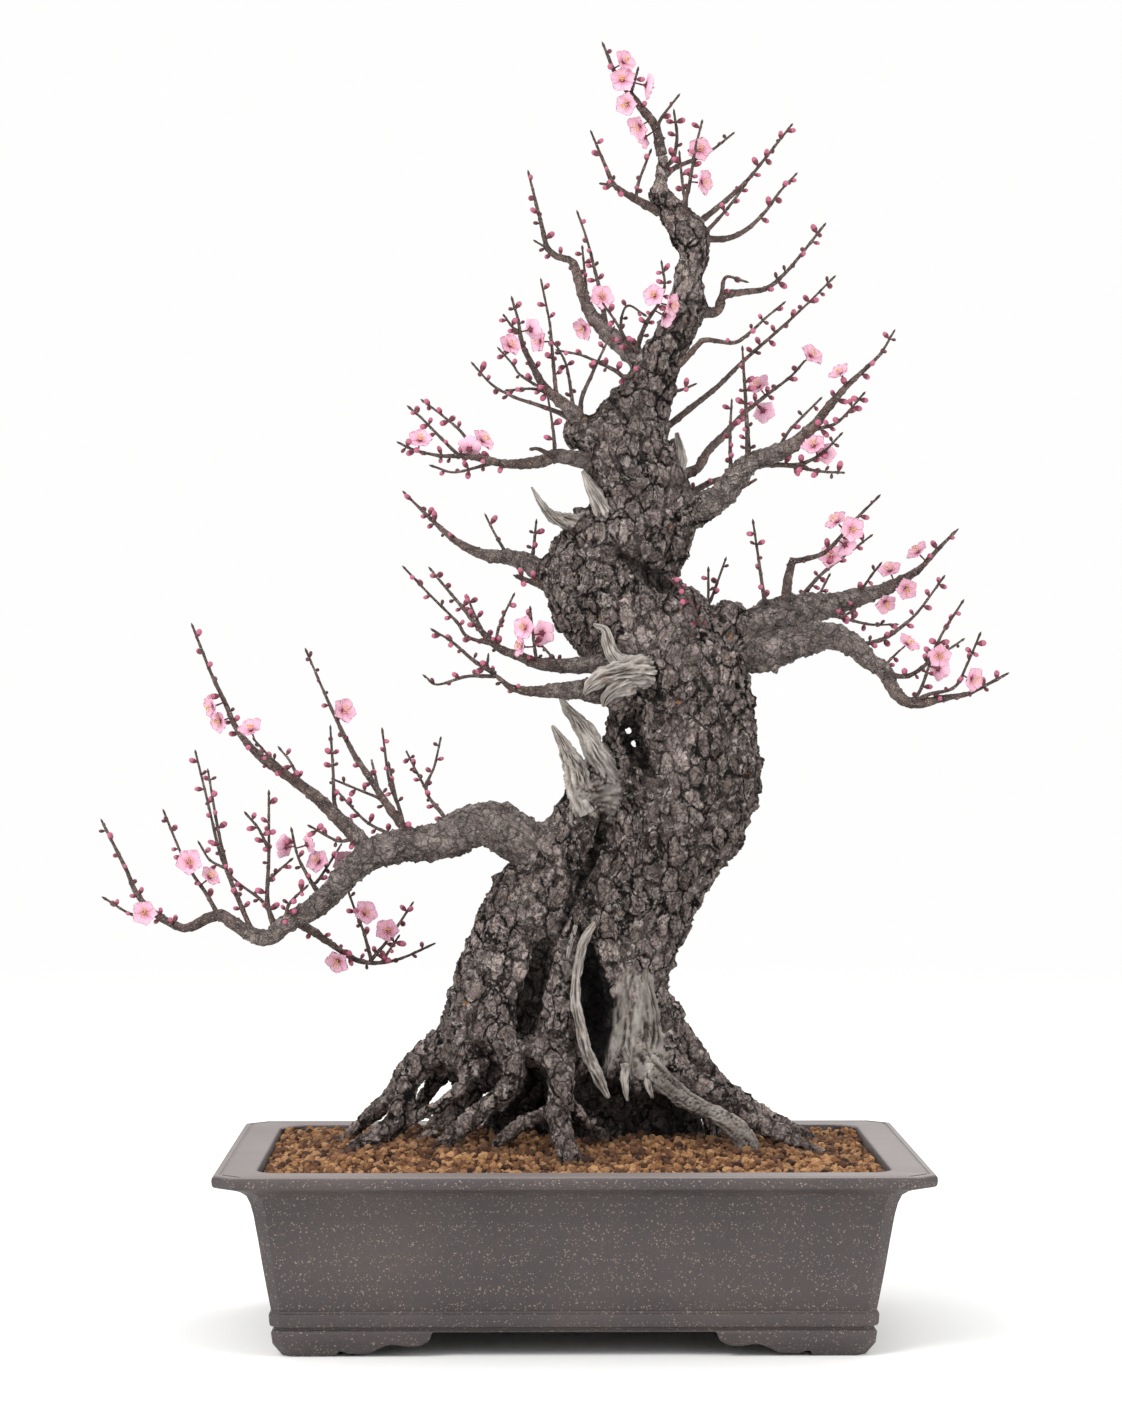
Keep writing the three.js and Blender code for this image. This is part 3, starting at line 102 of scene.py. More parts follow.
# Roots over the soil, each from the trunk out to where it goes under.
ROOTS = [
    [(-70, 0, 218, 20), (-100, 6, 199, 12), (-118, 20, 186, 9), (-132, 34, 167, 6.8), (-156, 48, 145, 5.2),
     (-172, 56, 130, 4.5)],
    [(-98, -2, 200, 11), (-117, -10, 181, 8.5), (-123, -14, 163, 7.5), (-131, -17, 148, 7),
     (-144, -18, 138, 6.5), (-162, -18, 125, 5.5)],
    [(-60, -18, 206, 8), (-72, -26, 186, 5), (-84, -26, 171, 4.8), (-98, -22, 160, 4.6),
     (-114, -16, 152, 4.2), (-134, -8, 136, 3.5)],
    [(-62, -12, 232, 16), (-56, -32, 212, 10), (-43, -44, 195, 8.5), (-42, -48, 180, 8),
     (-53, -46, 167, 7.8), (-69, -43, 154, 7.2), (-83, -39, 142, 6.8), (-103, -36, 122, 6)],
    [(-54, -34, 214, 10), (-37, -46, 207, 8.5), (-19, -54, 200, 8.7), (-8, -61, 190, 9),
     (-8, -67, 171, 8.8), (-9, -72, 153, 8.6), (-6, -77, 137, 8.5), (1, -81, 117, 7.5)],
    [(-11, -70, 158, 6), (-24, -64, 152, 5.2), (-37, -56, 147, 5), (-50, -48, 136, 4.6),
     (-62, -42, 121, 4)],
    [(-5, -64, 165, 5.5), (4, -53, 156, 5), (15, -42, 146, 4.6), (26, -33, 136, 4.3), (37, -26, 122, 4)],
    [(-64, -10, 190, 9), (-75, -14, 168, 5.5), (-90, -12, 153, 4.8), (-112, -12, 134, 4)],
    [(-76, 10, 200, 12), (-94, 14, 185, 7), (-106, 18, 168, 5.5), (-120, 24, 150, 4.6), (-136, 32, 130, 4)],
    [(56, 4, 236, 16), (75, 8, 212, 12), (90, 12, 195, 10), (106, 18, 176, 8.2), (124, 28, 163, 7.2),
     (144, 42, 151, 6.2), (166, 62, 140, 5.2), (188, 82, 126, 4.2)],
    [(62, -14, 204, 14), (84, -24, 181, 8.7), (100, -26, 172, 7.6), (116, -27, 164, 8),
     (132, -26, 152, 7.8), (147, -25, 143, 7.2), (164, -24, 134, 6), (186, -22, 121, 4.8)],
    [(88, -24, 178, 8.5), (97, -20, 164, 6.8), (102, -16, 148, 6), (105, -13, 124, 5)],
    [(-48, 24, 205, 20), (-68, 48, 180, 11), (-85, 68, 160, 8), (-102, 84, 143, 6.5), (-122, 98, 124, 5)],
    [(-10, 30, 195, 20), (-20, 60, 168, 11), (-27, 84, 150, 8.5), (-38, 102, 136, 6.5), (-50, 120, 120, 5)],
    [(30, 34, 200, 20), (38, 66, 170, 11), (48, 88, 151, 8.5), (56, 108, 137, 6.5), (70, 128, 120, 5)],
    [(60, 26, 205, 16), (84, 50, 175, 10), (104, 64, 157, 8), (124, 80, 142, 6.5), (144, 96, 123, 5)],
]
# Wood without bark that is fused into the trunk.
BARE_WOOD = [
    [(34, -10, 290, 7), (43, -13, 250, 15), (47, -16, 216, 18.5), (49, -23, 196, 16.5), (58, -36, 184, 11),
     (72, -48, 174, 8), (84, -52, 164, 7), (98, -52, 157, 6.2), (111, -52, 151, 6.6), (121, -51, 143, 7.5),
     (128, -49, 134, 8), (131, -47, 120, 7)],
    [(38, -22, 214, 8), (31, -28, 196, 5.5), (28, -30, 180, 2.5)],
    [(50, -32, 200, 9), (47, -37, 184, 6.5), (47, -39, 168, 2.6)],
    [(60, -32, 196, 7), (62, -38, 182, 4)],
    [(34, -4, 392, 16), (20, -14, 386, 12), (8, -24, 388, 8), (2, -28, 396, 5)],
    [(58, -26, 478, 11), (46, -36, 476, 9.5), (36, -40, 472, 7.5)],
    [(16, 0, 582, 12), (2, -6, 586, 7.5)],
]
# The recessed, crumbling base behind the roots and the wood that fills the gap between trunks.
FILLING = [
    [(-30, 20, 172, 18), (-28, 10, 204, 21), (-23, 5, 240, 21), (-14, 3, 275, 20), (6, 2, 310, 20)],
    [(-44, 30, 112, 26), (-38, 28, 146, 23), (-34, 24, 184, 21)],
    [(70, 20, 112, 32), (68, 18, 150, 27), (64, 14, 190, 24), (56, 8, 220, 22)],
]
# Free ends of bare wood.
JINS = [
    [(17, -25, 294, 1.6), (9, -30, 280, 2.6), (4, -32, 258, 2.8), (3, -34, 238, 3.2), (7, -35, 217, 3.6),
     (12, -37, 198, 4.4), (19, -39, 182, 4.6), (27, -40, 166, 1.6)],
    [(3, -24, 292, 1.2), (-2, -27, 276, 2), (-4, -28, 258, 1.8), (-2, -30, 242, 1.2)],
    [(58, -40, 190, 5), (57, -44, 176, 3), (59, -46, 166, 1.1)],
    [(40, -34, 190, 5), (39, -38, 176, 3), (41, -40, 164, 1.1)],
    [(34, -10, 398, 9), (24, -16, 410, 8), (14, -19, 426, 6.4), (5, -21, 440, 4.6), (-3, -21, 450, 3),
     (-9, -20, 460, 1)],
    [(12, -18, 378, 10), (6, -24, 392, 8.5), (3, -30, 406, 6.4), (-3, -37, 418, 4.6), (-8, -43, 428, 3),
     (-14, -49, 438, 0.9)],
    [(56, -34, 478, 10), (44, -42, 478, 9.5), (34, -46, 476, 7.5), (24, -46, 474, 6), (15, -45, 468, 4.2),
     (9, -42, 461, 1)],
    [(44, -40, 470, 7), (33, -46, 465, 5.4), (26, -47, 459, 3.4), (23, -46, 452, 1)],
    [(38, -38, 482, 6.5), (30, -38, 491, 5), (26, -38, 501, 4), (24, -38, 508, 3), (16, -38, 512, 1.1)],
    [(12, -2, 583, 9.5), (2, -6, 585, 7.5), (-7, -14, 588, 5.4), (-15, -27, 592, 4), (-22, -38, 600, 2.8),
     (-29, -46, 612, 0.9)],
    [(30, -10, 584, 9), (22, -14, 598, 6.5), (15, -17, 611, 4.6), (8, -19, 624, 1.2)],
    [(0, 6, 556, 8), (-10, 8, 562, 5.2), (-14, 9, 571, 1.4)],
    [(74, -6, 622, 7), (79, -7, 634, 3.6), (77, -8, 652, 1)],
]
# Grooves of the front: the deepest in each, then (x, z, half width) along it.
GROOVES = [
    (8, [(24, 372, 2), (14, 336, 3), (-6, 300, 4), (-19, 276, 5), (-25, 254, 6.5), (-30, 236, 8),
        (-34, 216, 7)]),
    (9, [(36, 562, 3), (50, 554, 6), (62, 547, 7), (78, 541, 6)]),
    (5, [(26, 420, 2), (30, 400, 3), (20, 384, 3)]),
    (4, [(50, 452, 3), (45, 440, 6), (46, 426, 8), (54, 408, 4), (64, 394, 2)]),
    (3, [(8, 330, 2), (4, 300, 3), (0, 272, 3)]),
]
# The dark hollow, which is cut out.
HOLLOW = [
    (14, -34, 276, 1.5), (13, -36, 262, 6.5), (16, -38, 244, 10), (18, -40, 224, 11), (20, -42, 207, 7),
    (21, -44, 190, 1.5),
]
# Openings as (depth against width, rows): the hollow, and a hole where the two trunks part.
HOLES = [
    (3.0, HOLLOW),
    (3.0, [(47, -38, 450, 1), (45, -32, 440, 6), (45, -26, 427, 8), (51, -26, 412, 6), (60, -28, 400, 1)]),
    (1.0, [(41, -60, 435, 3.2), (41, 0, 434, 3.0), (40, 60, 435, 3.2)]),
    (1.0, [(46, -60, 425, 2.2), (46, 0, 425, 2.2), (46, 60, 425, 2.4)]),
]
# How much wider each of these branches starts in the trunk's wood.
BRANCH_COLLARS = {
    "branch_lower_left": 1.3, "branch_right": 1.1, "branch_middle_right": 1.25,
    "branch_middle_left_front": 1.4,
}
# Short shoots of the trunk itself: (depths, radii, x and z along it).
TRUNK_SHOOTS = [
    ([-2, 16, 24], (3.4, 2), [70, 600, 87, 608, 102, 616, 114, 619]),
    ([-8, -26], (2, 0.9), [60, 679, 79, 683, 89, 687]),
    ([4, -24], (4.5, 1.8), [-12, 540, -29, 543, -40, 547]),
    ([-10, -50], (2.4, 0.8), [55, 701, 40, 693, 31, 698, 9, 708, -9, 712]),
    ([-12, -38, -46, -50], (2.2, 0.8), [100, 503, 92, 516, 85, 532, 71, 546]),
    ([-1, 22], (2, 0.8), [99, 505, 96, 518, 103, 533, 112, 558]),
    ([8, 0], (1.1, 0.8), [99, 525, 100, 534, 100, 550]),
    ([-24, -38], (1.5, 0.8), [61, 873, 67, 884, 77, 897]),
    ([-27, -40], (1.3, 0.8), [43, 898, 48, 916]),
    ([-18, 0], (2, 0.9), [66, 845, 74, 852, 77, 868, 75, 886]),
]
# Branches. A stem is (name, stem it grows from, depths along it, radii, x and z along it).
BRANCHES = {
    "branch_lower_left": [
        ("limb", "", [0, -20, -30, -12, 10], (21, 1.1), [0, 352, -18, 349, -31, 351, -45, 360, -57, 366,
            -76, 363, -96, 354, -119, 351, -141, 346, -160, 333, -175, 317, -188, 305, -202, 297, -212, 291,
            -219, 284, -230, 284, -246, 293, -258, 300, -276, 292, -286, 291, -304, 301, -317, 315, -325,
            333, -342, 367]),
        ("outer", "limb", [-16], (1.6, 0.8), [-304, 301, -320, 300, -339, 311]),
        ("a", "limb", [-34], (1.8, 0.8), [-258, 300, -267, 316, -276, 329, -285, 345, -297, 374]),
        ("b", "limb", [34], (2.2, 0.8), [-230, 284, -235, 292, -246, 318, -252, 333, -258, 350, -265, 380,
            -274, 417]),
        ("b_fork", "b", [-2], (1.5, 0.8), [-252, 336, -258, 362, -265, 403]),
        ("b_side", "b", [-6], (1.2, 0.8), [-253, 334, -264, 340, -271, 351]),
        ("c", "limb", [16], (1.9, 0.8), [-216, 292, -225, 309, -239, 320, -251, 330]),
        ("d", "limb", [-58], (2.2, 0.8), [-217, 290, -222, 311, -221, 343, -221, 387]),
        ("d_left", "d", [-76], (1.3, 0.8), [-221, 347, -228, 362, -237, 373]),
        ("d_right", "d", [-22], (1.3, 0.8), [-221, 325, -213, 333, -206, 339]),
        ("e", "limb", [-6], (2, 0.8), [-182, 311, -193, 329, -200, 343, -204, 360]),
        ("e_left", "limb", [-56], (1.7, 0.8), [-209, 294, -206, 308, -194, 320]),
        ("e_right", "e", [10], (1.3, 0.8), [-191, 324, -187, 323, -179, 334, -169, 350]),
        ("fork", "limb", [-72], (2.2, 0.8), [-151, 340, -158, 354, -171, 354, -190, 364]),
        ("front", "limb", [-50, -72, -84], (7.5, 0.9), [-129, 349, -143, 343, -157, 357, -175, 375, -193,
            391, -210, 403, -228, 416, -244, 435, -253, 455, -263, 476, -276, 509]),
        ("front_low", "front", [-96], (1.7, 0.8), [-198, 395, -218, 413, -231, 427]),
        ("front_in", "front", [-40], (1.3, 0.8), [-196, 393, -205, 411, -212, 420]),
        ("front_up", "front", [-22], (1.9, 0.8), [-167, 367, -173, 381, -174, 403, -176, 435]),
        ("back", "limb", [10, 48, 70], (4.2, 0.9), [-111, 353, -122, 363, -136, 382, -148, 401, -160, 419,
            -176, 452, -193, 491]),
        ("back_stub", "back", [30], (1.3, 0.8), [-141, 391, -146, 413]),
        ("back_low", "limb", [34], (1.8, 0.8), [-118, 353, -130, 358, -150, 368, -171, 390]),
        ("back_side", "back", [-8], (1.3, 0.8), [-137, 384, -150, 389, -172, 398]),
        ("h", "limb", [28], (2, 0.8), [-91, 357, -93, 371, -106, 390, -100, 409, -96, 427]),
        ("h_left", "h", [48], (1.2, 0.8), [-105, 389, -114, 406, -120, 418]),
        ("h_front", "limb", [-62], (1.9, 0.8), [-120, 352, -126, 378, -133, 397, -138, 433]),
        ("h_in", "h_front", [-36], (1.2, 0.8), [-128, 384, -133, 408]),
        ("low", "limb", [10, 40, 52], (3.6, 0.9), [-203, 296, -189, 288, -179, 281, -157, 267, -139, 265,
            -122, 269, -102, 278]),
        ("low_a", "low", [10], (1.5, 0.8), [-146, 266, -152, 288, -157, 300, -164, 320]),
        ("low_b", "low", [58], (1.5, 0.8), [-147, 266, -133, 283, -117, 307]),
        ("low_c", "low", [22], (1.2, 0.8), [-139, 265, -127, 283]),
    ],
    "branch_right": [
        ("limb", "", [-2, 12, 34, 58, 74], (24, 1.1), [92, 500, 112, 499, 130, 504, 146, 516, 160, 521, 177,
            524, 197, 528, 213, 533, 227, 537, 241, 544, 255, 553, 268, 567, 281, 580]),
        ("up_a", "limb", [18], (1.4, 0.8), [209, 532, 206, 523, 197, 517]),
        ("up_b", "limb", [66], (2, 0.8), [174, 523, 197, 517, 218, 512, 236, 512]),
        ("up_c", "limb", [26], (1.5, 0.8), [209, 532, 218, 546, 225, 555]),
        ("snag", "limb", [0], (4.6, 3), [152, 517, 156, 525, 158, 544, 162, 560]),
        ("up_d", "snag", [-36], (2.2, 0.9), [161, 558, 172, 560, 187, 566, 206, 587, 223, 604]),
        ("up_e", "limb", [72], (2.2, 0.8), [160, 522, 181, 547, 201, 563, 218, 576]),
        ("up_f", "limb", [52], (1.4, 0.8), [173, 523, 180, 532, 188, 547]),
        ("up_g", "limb", [-24], (2, 0.8), [144, 514, 141, 530, 137, 558, 133, 585]),
        ("low", "limb", [-18, -42, -62, -76], (17, 1), [119, 498, 138, 492, 156, 496, 174, 501, 190, 503,
            206, 497, 217, 486, 229, 478, 234, 467, 241, 458, 254, 454, 271, 458, 289, 461, 304, 468, 317,
            475]),
        ("low_a", "low", [-98], (2.2, 0.8), [229, 477, 240, 474, 250, 476, 263, 487, 271, 505, 285, 527]),
        ("low_b", "low_a", [-58], (1.2, 0.8), [266, 491, 276, 494, 285, 500]),
        ("low_c", "low", [-26], (1.6, 0.8), [249, 456, 256, 466, 266, 496]),
        ("low_d", "low", [-104], (1.7, 0.8), [251, 456, 262, 461, 280, 466, 289, 482, 298, 503]),
        ("low_e", "low", [4], (2, 0.8), [207, 496, 227, 501, 241, 510, 254, 522, 271, 545]),
        ("low_f", "low", [-30], (1.5, 0.8), [228, 479, 232, 485, 239, 492]),
    ],
    "branch_middle_left_back": [
        ("limb", "", [-18, -8, 12, 36], (8.2, 0.9), [41, 486, 27, 484, 3, 482, -23, 483, -38, 489, -52, 494,
            -64, 505, -76, 520, -87, 533, -102, 551]),
        ("a", "limb", [-10], (1.6, 0.8), [-56, 497, -76, 503, -84, 514, -103, 533, -121, 552]),
        ("b", "limb", [46], (1.2, 0.8), [-64, 505, -72, 522, -76, 532]),
        ("c", "limb", [-8], (1.3, 0.8), [-56, 497, -52, 513, -43, 532]),
        ("d", "limb", [-30], (1.5, 0.8), [-25, 483, -27, 495, -30, 522]),
        ("e", "limb", [26], (1.3, 0.8), [-5, 482, -12, 486, -23, 498]),
    ],
    "branch_middle_left_front": [
        ("limb", "", [-26, -36, -52, -72], (12, 1), [39, 465, 28, 463, 3, 464, -23, 463, -42, 465, -52, 472,
            -61, 480, -61, 488]),
        ("a", "limb", [-96], (2, 0.8), [-56, 476, -72, 486, -87, 499, -100, 507]),
        ("b", "limb", [-44], (1.7, 0.8), [-56, 474, -76, 474, -98, 468, -106, 473]),
    ],
    "branch_hook_left": [
        ("limb", "", [4, 28, 56, 84], (9.5, 0.9), [-10, 547, -23, 550, -30, 556, -45, 561, -64, 563, -80,
            570, -92, 579, -108, 594, -121, 607]),
        ("a", "limb", [34], (1.5, 0.8), [-46, 561, -56, 578, -62, 590]),
        ("b", "limb", [20], (1.9, 0.8), [-30, 555, -28, 565, -26, 585]),
    ],
    "branch_shoulder_left": [
        ("limb", "", [-6, -30, -62, -98], (7.4, 0.9), [24, 630, 9, 632, -12, 635, -22, 631, -43, 629, -62,
            632, -78, 635, -95, 635, -114, 639, -125, 644]),
        ("a", "limb", [-24], (1.5, 0.8), [-60, 631, -71, 639, -81, 653, -95, 665, -107, 674]),
        ("b", "limb", [-50], (1.4, 0.8), [-76, 635, -84, 637, -108, 661, -117, 669]),
        ("c", "limb", [-38], (1.4, 0.8), [-56, 630, -68, 627, -86, 623, -100, 627]),
        ("stub", "limb", [-62], (2.4, 1.2), [-12, 634, -24, 640, -30, 640]),
        ("d", "limb", [-44], (1.8, 0.8), [-12, 634, -13, 650, -15, 665, -17, 676]),
    ],
    "branch_upper_left_fan": [
        ("limb", "", [-6, 2, -18, -36], (6, 0.9), [6, 657, 0, 668, -12, 678, -21, 687, -30, 704, -36, 717,
            -39, 734, -43, 748]),
        ("a", "limb", [-50], (1.2, 0.8), [-39, 726, -43, 729, -49, 737]),
        ("b", "limb", [14], (1.3, 0.8), [-12, 679, -36, 693, -43, 702, -52, 712]),
        ("c", "limb", [-34], (1.4, 0.8), [-14, 679, -27, 684, -46, 683]),
        ("d", "limb", [26], (1.7, 0.8), [-11, 678, -14, 710, -16, 732, -22, 762]),
        ("e", "limb", [46], (1.6, 0.8), [2, 665, -3, 698, -9, 712, -15, 720]),
    ],
    "branch_upper_left_low": [
        ("limb", "", [6, 24, 42], (2.4, 0.8), [4, 656, -6, 665, -24, 672, -42, 678, -58, 687, -71, 701]),
    ],
    "branch_upper_left_inner": [
        ("limb", "", [-8, -26, -44], (2.4, 0.8), [8, 655, 7, 675, 15, 695, 22, 710, 30, 727]),
    ],
    "branch_high_left": [
        ("limb", "", [-10, 12, 30, 46], (9, 0.9), [64, 696, 51, 704, 38, 715, 24, 727, 14, 739, 9, 751, 5,
            764, 0, 777, -11, 781, -18, 788, -22, 804, -31, 840]),
        ("tip", "limb", [34], (1.2, 0.8), [-14, 784, -20, 788, -25, 791]),
        ("a", "limb", [-4], (2.2, 0.8), [26, 726, 21, 754, 16, 775, 11, 794, 5, 811]),
        ("b", "limb", [50], (1.5, 0.8), [12, 744, 10, 765, 8, 786]),
        ("c", "limb", [-40], (1.7, 0.8), [48, 706, 41, 718, 33, 732, 24, 745]),
        ("d", "limb", [-56], (2.2, 0.8), [46, 708, 54, 731, 64, 747, 68, 760, 66, 775]),
        ("e", "limb", [32], (1.5, 0.8), [35, 717, 37, 738, 42, 745, 52, 739]),
    ],
    "branch_high_right": [
        ("limb", "", [-14, 4, 26, 42], (4.4, 0.9), [86, 740, 99, 740, 107, 742, 111, 752, 126, 755, 143,
            758, 160, 773, 184, 803]),
        ("a", "limb", [-8], (2.2, 0.9), [108, 744, 110, 755, 113, 766, 126, 763]),
    ],
    "branch_right_front_long": [
        ("limb", "", [-10, -34, -62], (3.4, 0.8), [66, 694, 81, 704, 92, 716, 99, 720, 119, 718, 131, 726,
            143, 737, 154, 746]),
    ],
    "branch_right_back_long": [
        ("limb", "", [-4, 28, 62, 88], (2.9, 0.8), [62, 650, 82, 666, 92, 674, 107, 686, 122, 701, 134, 712,
            149, 725, 171, 745, 191, 765]),
    ],
    "branch_middle_right": [
        ("limb", "", [0, -14, -34, -48, -56], (13, 0.9), [76, 590, 95, 597, 109, 606, 119, 617, 129, 629,
            143, 635, 160, 642, 176, 656, 188, 671, 200, 685, 214, 698, 226, 710, 235, 725]),
        ("a", "limb", [-72], (2.6, 0.8), [129, 627, 129, 640, 128, 663, 125, 712]),
        ("b", "limb", [10], (2, 0.8), [117, 615, 116, 640, 116, 654, 117, 674]),
        ("c", "limb", [-4], (1.5, 0.8), [150, 638, 158, 652, 166, 661, 181, 676]),
        ("d", "limb", [-92], (1.7, 0.8), [174, 654, 184, 656, 196, 661, 213, 680]),
        ("e", "limb", [-26, -84], (2.8, 0.8), [134, 630, 145, 629, 160, 628, 181, 624, 198, 623]),
        ("f", "e", [-52], (1.8, 0.8), [160, 628, 170, 630, 183, 637, 196, 650]),
        ("stub", "limb", [-30], (1.8, 1), [122, 611, 128, 614, 135, 618]),
    ],
    "branch_middle_right_back": [
        ("limb", "", [4, 30, 56, 72], (4.6, 0.9), [74, 619, 86, 623, 93, 627, 100, 639, 112, 651, 126, 666,
            143, 680, 160, 693, 169, 703]),
    ],
    "branch_top_right_back": [
        ("limb", "", [-16, 8, 44], (3, 0.8), [80, 801, 90, 804, 101, 812, 114, 823, 127, 835, 141, 852, 160,
            876]),
    ],
    "branch_top_right_front": [
        ("limb", "", [-17, -52], (2, 0.8), [92, 797, 100, 801, 113, 815, 126, 832]),
    ],
    "branch_top_right_low": [
        ("limb", "", [-16, -8, 12], (3, 0.8), [94, 794, 113, 794, 127, 800, 141, 813, 152, 828, 163, 840]),
    ],
    "branch_top_left": [
        ("limb", "", [-17, -40, -62], (4, 0.8), [64, 814, 48, 822, 36, 829, 30, 835, 23, 851, 15, 870]),
        ("a", "limb", [-62], (1.2, 0.8), [36, 829, 29, 833, 22, 834]),
        ("b", "limb", [-18], (1.4, 0.8), [47, 822, 49, 835, 57, 856]),
    ],
    "branch_top_side": [
        ("limb", "", [-18, 6, 24], (2.6, 0.8), [65, 837, 76, 846, 88, 851, 103, 859, 117, 870]),
        ("a", "limb", [24], (1.3, 0.8), [89, 852, 92, 866, 95, 878]),
    ],
    "branch_top_upright": [
        ("limb", "", [-16, -40, -50], (3, 0.8), [84, 800, 83, 821, 86, 833, 91, 863]),
        ("a", "limb", [-22], (1.4, 0.8), [83, 822, 81, 835, 79, 855]),
    ],
}
# Blossoms of the frame: x and z of the middle, turn to the front (-1) or the back (1).
BLOSSOMS = {
    "branch_lower_left": [(-311, 301, -1), (-279, 338, -1), (-206, 349, 0.3), (-169, 339, -0.5),
        (-165, 449, -1), (-260, 452, -0.3), (-171, 265, -0.9), (-152, 300, -0.6)],
    "branch_right": [(195, 585, -0.3), (190, 560, -0.8), (254, 563, -0.3), (234, 547, -0.4),
        (245, 497, -0.4), (269, 479, 0.6), (291, 472, -0.5)],
    "branch_middle_left_back": [(-33, 509, -0.7), (-22, 505, 0.8)],
    "branch_shoulder_left": [(-111, 644, -0.6), (-64, 646, -0.5)],
    "branch_upper_left_fan": [(-45, 715, -0.8), (-22, 718, -0.4)],
    "branch_high_left": [(9, 727, -0.6), (22, 750, -1), (73, 744, -0.5)],
    "branch_middle_right_back": [(174, 707, -0.5), (139, 669, 0.5)],
    "branch_middle_right": [(177, 641, -0.7)],
    "trunk": [(37, 908, -1), (56, 905, 0.2)],
    "branch_top_side": [(94, 857, -1)],
}
# Blossoms beside them, in the same form, with how far each has opened.
MORE_BLOSSOMS = {
    "branch_lower_left": [(-266, 325, -0.3, 1.0), (-191, 351, 0.4, 0.9), (-184, 338, -0.8, 1.0),
        (-260, 439, -0.9, 0.8), (-233, 432, -0.4, 0.5), (-133, 287, -0.6, 0.6)],
    "branch_right": [(204, 581, -0.9, 1.0), (198, 571, 0.3, 0.9), (243, 539, -0.9, 0.9),
        (227, 532, -0.3, 0.6), (268, 489, -0.6, 0.9)],
    "branch_middle_left_back": [(-33, 495, -0.2, 0.7)],
    "branch_shoulder_left": [(-75, 638, 0.5, 0.5)],
    "branch_upper_left_fan": [(-30, 727, 0.6, 0.8)],
    "branch_high_left": [(61, 751, -0.9, 1.0), (68, 737, 0.3, 0.7)],
    "branch_middle_right_back": [(137, 685, -0.5, 0.9)],
    "branch_middle_right": [(184, 636, 0.2, 0.9), (195, 696, -0.5, 0.4)],
    "trunk": [(41, 891, -0.9, 1.0), (46, 872, -0.8, 0.9), (37, 921, -0.6, 0.8), (54, 868, 0.4, 0.8)],
    "branch_top_upright": [(96, 834, -0.5, 0.7)],
}


# ---- Noise -------------------------------------------------------------------------------------
def scatter(cells, seed):
    """An even, repeatable number from 0 to 1 for each whole-number cell."""
    n = cells[..., 0] * 73856093 ^ cells[..., 1] * 19349663 ^ cells[..., 2] * 83492791
    n = (n ^ (seed * 40503)) & 0xFFFFFFFF
    n = (n ^ (n >> 15)) * 2246822519 & 0xFFFFFFFF
    n = (n ^ (n >> 13)) * 3266489917 & 0xFFFFFFFF
    return ((n ^ (n >> 16)) & 0xFFFFFF) / 0xFFFFFF


def smooth_noise(points, seed=0):
    """Smooth noise from -1 to 1 with features one unit wide."""
    base = np.floor(points).astype(np.int64)
    part = points - base
    part = part * part * (3 - 2 * part)
    total = np.zeros(len(points))
    for corner in np.ndindex(2, 2, 2):
        weight = np.prod(np.where(np.array(corner), part, 1 - part), axis=1)
        total += weight * scatter(base + np.array(corner), seed)
    return total * 2 - 1


def rough_noise(points, octaves=4, seed=0):
    total, size = np.zeros(len(points)), 1.0
    for octave in range(octaves):
        total += size * smooth_noise(points * 2**octave, seed + octave * 7)
        size *= 0.5
    return total / 1.6


def cell_noise(points, seed=0):
    """For cells one unit wide: distance to the nearest edge, the cell's number and a slope over it."""
    base = np.floor(points).astype(np.int64)
    first = np.full(len(points), 9.0)
    second = np.full(len(points), 9.0)
    own, lean = np.zeros(len(points)), np.zeros(len(points))
    for step in np.ndindex(3, 3, 3):
        cell = base + np.array(step) - 1
        spot = np.stack([scatter(cell, seed + k) for k in (1, 2, 3)], axis=1)
        away = cell + spot - points
        gap = np.linalg.norm(away, axis=1)
        nearer = gap < first
        second = np.where(nearer, first, np.minimum(second, gap))
        number = scatter(cell, seed + 4)
        turn = number * 44
        slope = away[:, 0] * np.cos(turn) + away[:, 1] * np.sin(turn * 1.7)
        slope = slope + away[:, 2] * np.sin(turn)
        own = np.where(nearer, number, own)
        lean = np.where(nearer, slope, lean)
        first = np.where(nearer, gap, first)
    return second - first, own, lean


def ease(low, high, value):
    t = np.clip((value - low) / (high - low), 0, 1)
    return t * t * (3 - 2 * t)


# ---- Plan to space -----------------------------------------------------------------------------
TAPER = 1.55  # above 1, a stem thins quickly at first


def to_space(rows):
    """Plan rows of (x, y, z, radius) as rows in the row frame, in millimetres."""
    rows = np.array(rows, float)
    out = 1 + rows[:, 1] / -EYE[1]
    placed = rows.copy()
    placed[:, 0] = EYE[0] + (rows[:, 0] - EYE[0]) * out + POT_X
    placed[:, 2] = EYE[2] + (rows[:, 2] - EYE[2]) * out
    return placed


def mix(values, t):
    return float(np.interp(t * (len(values) - 1), range(len(values)), values))


def lengths_along(points):
    """The length of a line of points up to each of them."""
    return np.concatenate([[0], np.cumsum(np.linalg.norm(np.diff(points, axis=0), axis=1))])


def plan_rows(depths, radii, flat):
    base, tip = radii
    points = np.array(flat, float).reshape(-1, 2)
    reach = lengths_along(points)
    return [
        (x, mix(depths, t), z, tip + (base - tip) * (1 - t) ** TAPER)
        for (x, z), t in zip(points, reach / reach[-1])
    ]


